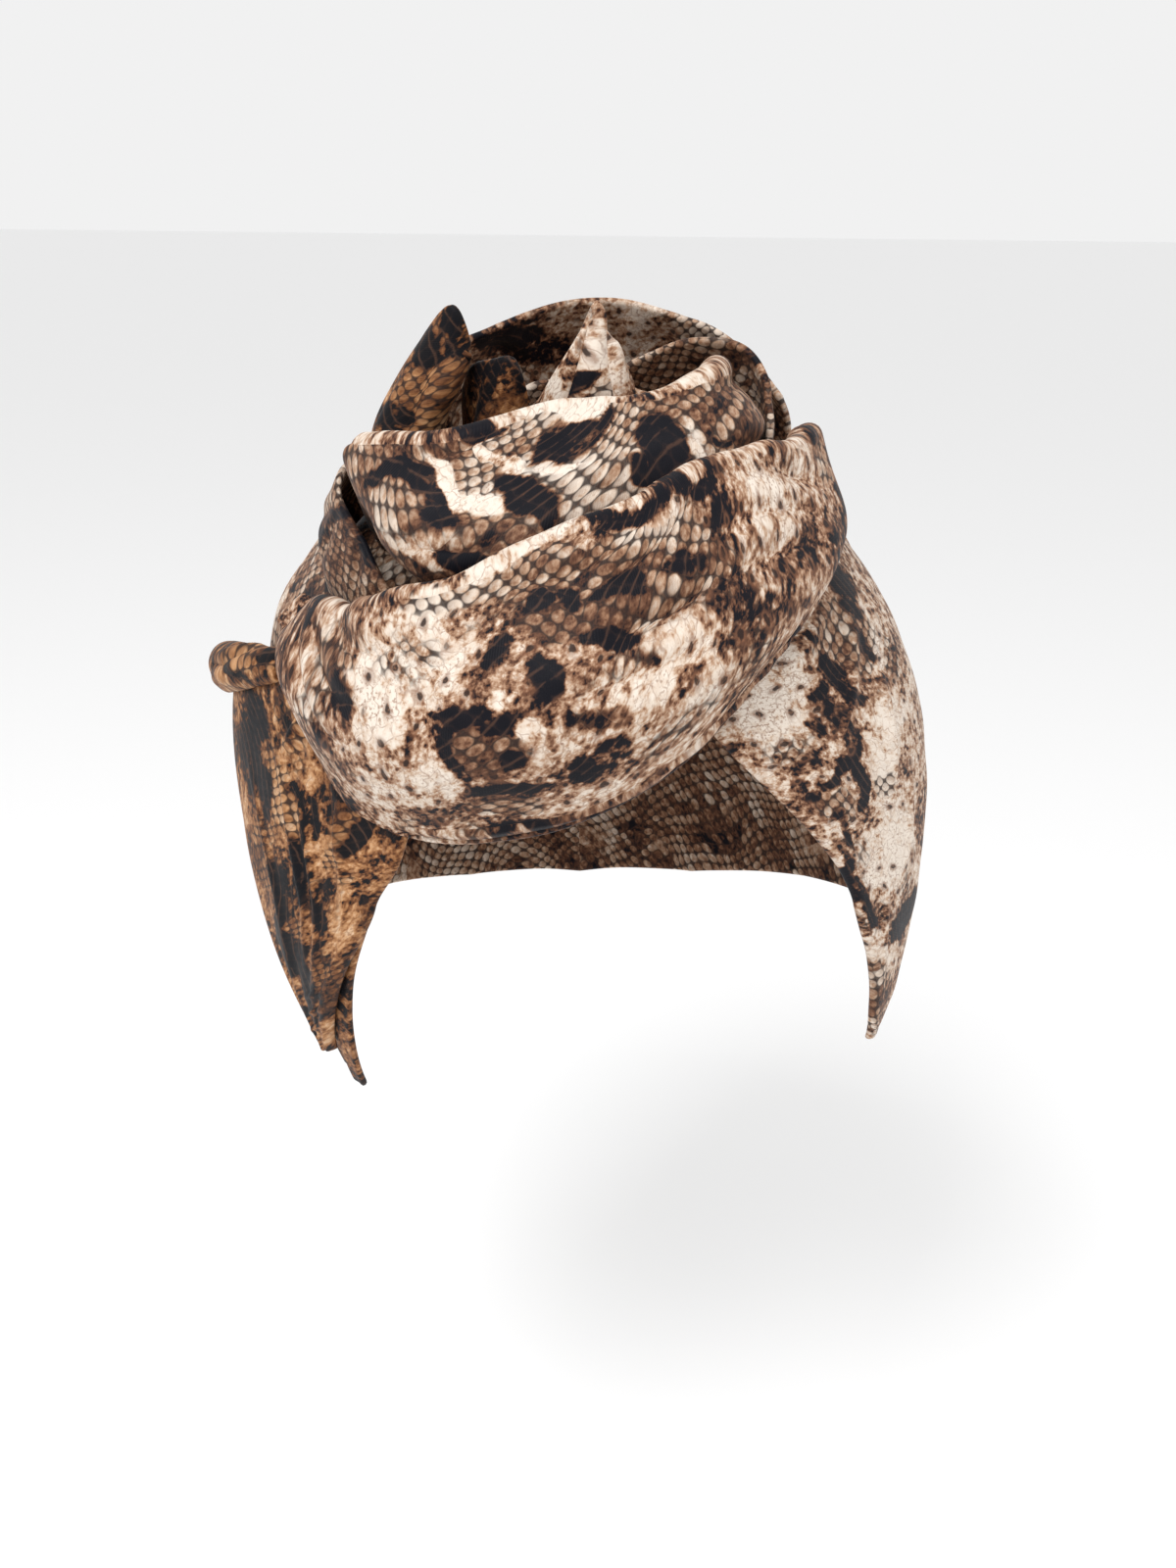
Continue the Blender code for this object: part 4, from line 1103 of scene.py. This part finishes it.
coil_fold("right_petal", RIGHT_PETAL, COIL_CENTRE, cap_seat, RIGHT_PETAL_CREASES, RIGHT_PETAL_PRINT,
          snake_jersey("right_petal_jersey", SNAKE_DYES, (27.0, 81.0), 4.2, 3.4, 0.5),
          base=(0.60, 0.8, 0.1), sections=150, steps=30)


# Centre peak, left peak and left inner petal: the innermost turns of the coil, pinched up into points.
# Each is a short doubled end of the jersey whose foot is tucked into the hollow of the rosette.
CENTRE_PEAK = (
    FOLD_COLUMNS,
    (-26, 0.35, 0.36, 0.30, 0.33, 0.52),
    (-12, 0.36, 0.37, 0.40, 0.28, 0.82),
    (4, 0.36, 0.37, 0.45, 0.22, 1.08),
    (14, 0.36, 0.37, 0.42, 0.25, 0.86),
    (26, 0.36, 0.37, 0.38, 0.30, 0.60),
    (44, 0.35, 0.36, 0.20, 0.32, 0.45),
    (66, 0.34, 0.35, 0.00, 0.31, 0.22),
)
LEFT_PEAK = (
    FOLD_COLUMNS,
    (-83, 0.56, 0.56, 0.02, 0.50, 0.30),
    (-75, 0.64, 0.63, 0.16, 0.49, 0.64),
    (-66, 0.67, 0.65, 0.20, 0.42, 0.99),
    (-58, 0.63, 0.60, 0.25, 0.40, 0.82),
    (-58, 0.53, 0.52, 0.28, 0.40, 0.74),
    (-69, 0.47, 0.46, 0.28, 0.41, 0.69),
    (-84, 0.44, 0.44, 0.25, 0.42, 0.62),
)
LEFT_INNER_PETAL = (
    FOLD_COLUMNS,
    (-70, 0.36, 0.36, 0.20, 0.36, 0.42),
    (-59, 0.37, 0.38, 0.30, 0.36, 0.64),
    (-47, 0.37, 0.39, 0.34, 0.35, 0.74),
    (-37, 0.37, 0.38, 0.34, 0.34, 0.78),
    (-31, 0.36, 0.37, 0.30, 0.34, 0.56),
)
CENTRE_PEAK_CREASES = (
    CREASE_COLUMNS,
    (16, 42, 9, 16, 2.4, 1.3), (19, 41, 23, 16, 2.4, 1.1), (34, 28, 30, 8, 2.4, 0.7),
)
CENTRE_PEAK_PRINT = (
    PATCH_COLUMNS,
    (17, 33, 8, 3, 85, 0.78, 0.15, 0.6), (14, 25, 6, 2, 13, 0.1, 0.3, 0), (4, 23, 7, 2, 8, 0.92, 0.2, 0),
    (24, 24, 5, 2, -19, 0.86, 0.3, 0.2), (12, 19, 7, 2, 19, 0.14, 0.3, 0), (19, 21, 3, 2, -15, 0.7, 0.9, 0),
)
LEFT_PEAK_CREASES = (
    CREASE_COLUMNS,
    (26, 56, 40, 24, 2.4, 1.2), (24, 50, 28, 22, 2.2, 1.0), (18, 44, 14, 18, 2.2, 0.8),
)
LEFT_PEAK_PRINT = (
    PATCH_COLUMNS,
    (28, 35, 20, 6, -73, 0.6, 0.9, 0), (25, 52, 9, 2, -73, 0.16, 0.5, 0), (27, 32, 9, 2, -20, 0.34, 0.6, 0),
    (24, 28, 8, 2, -53, 0.3, 0.8, 0), (27, 42, 11, 2, -73, 0.74, 0.9, 0), (19, 50, 7, 3, -29, 0.26, 0.7, 0),
    (32, 29, 15, 2, -68, 0.66, 0.9, 0),
)
LEFT_INNER_CREASES = (CREASE_COLUMNS, (12, 30, 9, 8, 2.0, 0.8))
LEFT_INNER_PRINT = (
    PATCH_COLUMNS,
    (13, 24, 15, 7, -12, 0.5, 0.6, 0), (18, 28, 6, 2, 83, 0.7, 0.4, 0), (6, 29, 5, 4, -69, 0.26, 0.4, 0),
)
coil_fold("centre_peak", CENTRE_PEAK, REAR_CENTRE, cap_seat, CENTRE_PEAK_CREASES, CENTRE_PEAK_PRINT,
          snake_jersey("centre_peak_jersey", SNAKE_DYES, (63.0, 17.0)),
          base=(0.62, 0.3, 0.3), sections=110, steps=34)
coil_fold("left_peak", LEFT_PEAK, REAR_CENTRE, cap_seat, LEFT_PEAK_CREASES, LEFT_PEAK_PRINT,
          snake_jersey("left_peak_jersey", COPPER_DYES, (9.0, 9.0), 4.2, 3.0, 1.3),
          base=(0.52, 0.4, 0.1), sections=130, steps=34)
coil_fold("left_inner_petal", LEFT_INNER_PETAL, REAR_CENTRE, cap_seat, LEFT_INNER_CREASES, LEFT_INNER_PRINT,
          snake_jersey("left_inner_jersey", COPPER_DYES, (33.0, 3.0), 4.2, 3.0, 1.3),
          base=(0.50, 0.5, 0.1), sections=50, steps=34)


# Stage: a plain pale floor, soft white light from all round with a large soft lamp at the upper left
# and a weak one at the right, and the camera in front, above the rosette and looking down at it.
FLOOR_LEVEL = -0.34
FLOOR_REACH = 30
FLOOR_GREY = (0.93, 0.93, 0.93, 1)
SKY_STRENGTH = 0.88
CAMERA_PLACE = (-0.035, -0.420, 0.058)
CAMERA_YAW = 4.15
CAMERA_PITCH = 19.0
CAMERA_ROLL = 0.7
LENS = 38.16


def lamp(name, place, aim, size, power):
    """A square soft lamp that points at a place."""
    light = bpy.data.lights.new(name, "AREA")
    light.size = size
    light.energy = power
    body = bpy.data.objects.new(name, light)
    body.location = place
    toward = unit(np.array(aim, float) - np.array(place, float))
    side = unit(np.cross(toward, (0, 0, 1)))
    body.rotation_euler = Matrix(np.stack((side, np.cross(side, toward), -toward), -1).tolist()).to_euler()
    bpy.context.scene.collection.objects.link(body)


floor_mesh = bpy.data.meshes.new("floor")
floor_mesh.from_pydata([(FLOOR_REACH * x, FLOOR_REACH * y, FLOOR_LEVEL)
                        for x, y in ((-1, -1), (1, -1), (1, 1), (-1, 1))], [], [(0, 1, 2, 3)])
floor_paper = bpy.data.materials.new("floor_paper")
floor_paper.use_nodes = True
floor_paper.node_tree.nodes["Principled BSDF"].inputs["Base Color"].default_value = FLOOR_GREY
floor_paper.node_tree.nodes["Principled BSDF"].inputs["Roughness"].default_value = 0.9
floor_mesh.materials.append(floor_paper)
floor = bpy.data.objects.new("floor", floor_mesh)
bpy.context.scene.collection.objects.link(floor)

sky = bpy.data.worlds.new("soft_room")
sky.use_nodes = True
sky.node_tree.nodes["Background"].inputs["Color"].default_value = (1, 1, 1, 1)
sky.node_tree.nodes["Background"].inputs["Strength"].default_value = SKY_STRENGTH
bpy.context.scene.world = sky
lamp("key_lamp", place=(-0.45, -0.75, 0.95), aim=(0, -0.02, -0.04), size=0.50, power=11.0)
lamp("fill_lamp", place=(0.95, -0.45, 0.35), aim=(0, -0.02, -0.05), size=0.6, power=1.5)

yaw, pitch, roll = np.radians((CAMERA_YAW, CAMERA_PITCH, CAMERA_ROLL))
view_way = np.array((np.sin(yaw) * np.cos(pitch), np.cos(yaw) * np.cos(pitch), -np.sin(pitch)))
view_right = np.array((np.cos(yaw), -np.sin(yaw), 0))
view_up = np.cross(view_right, view_way)
tilted_right = np.cos(roll) * view_right + np.sin(roll) * view_up
tilted_up = np.cos(roll) * view_up - np.sin(roll) * view_right
camera = bpy.data.objects.new("camera", bpy.data.cameras.new("camera"))
camera.matrix_world = Matrix.Translation(CAMERA_PLACE) @ Matrix(
    np.stack((tilted_right, tilted_up, -view_way), -1).tolist()).to_4x4()
camera.data.lens = LENS
camera.data.clip_start = 0.01
bpy.context.scene.collection.objects.link(camera)
bpy.context.scene.camera = camera
bpy.context.scene.view_settings.view_transform = "Standard"
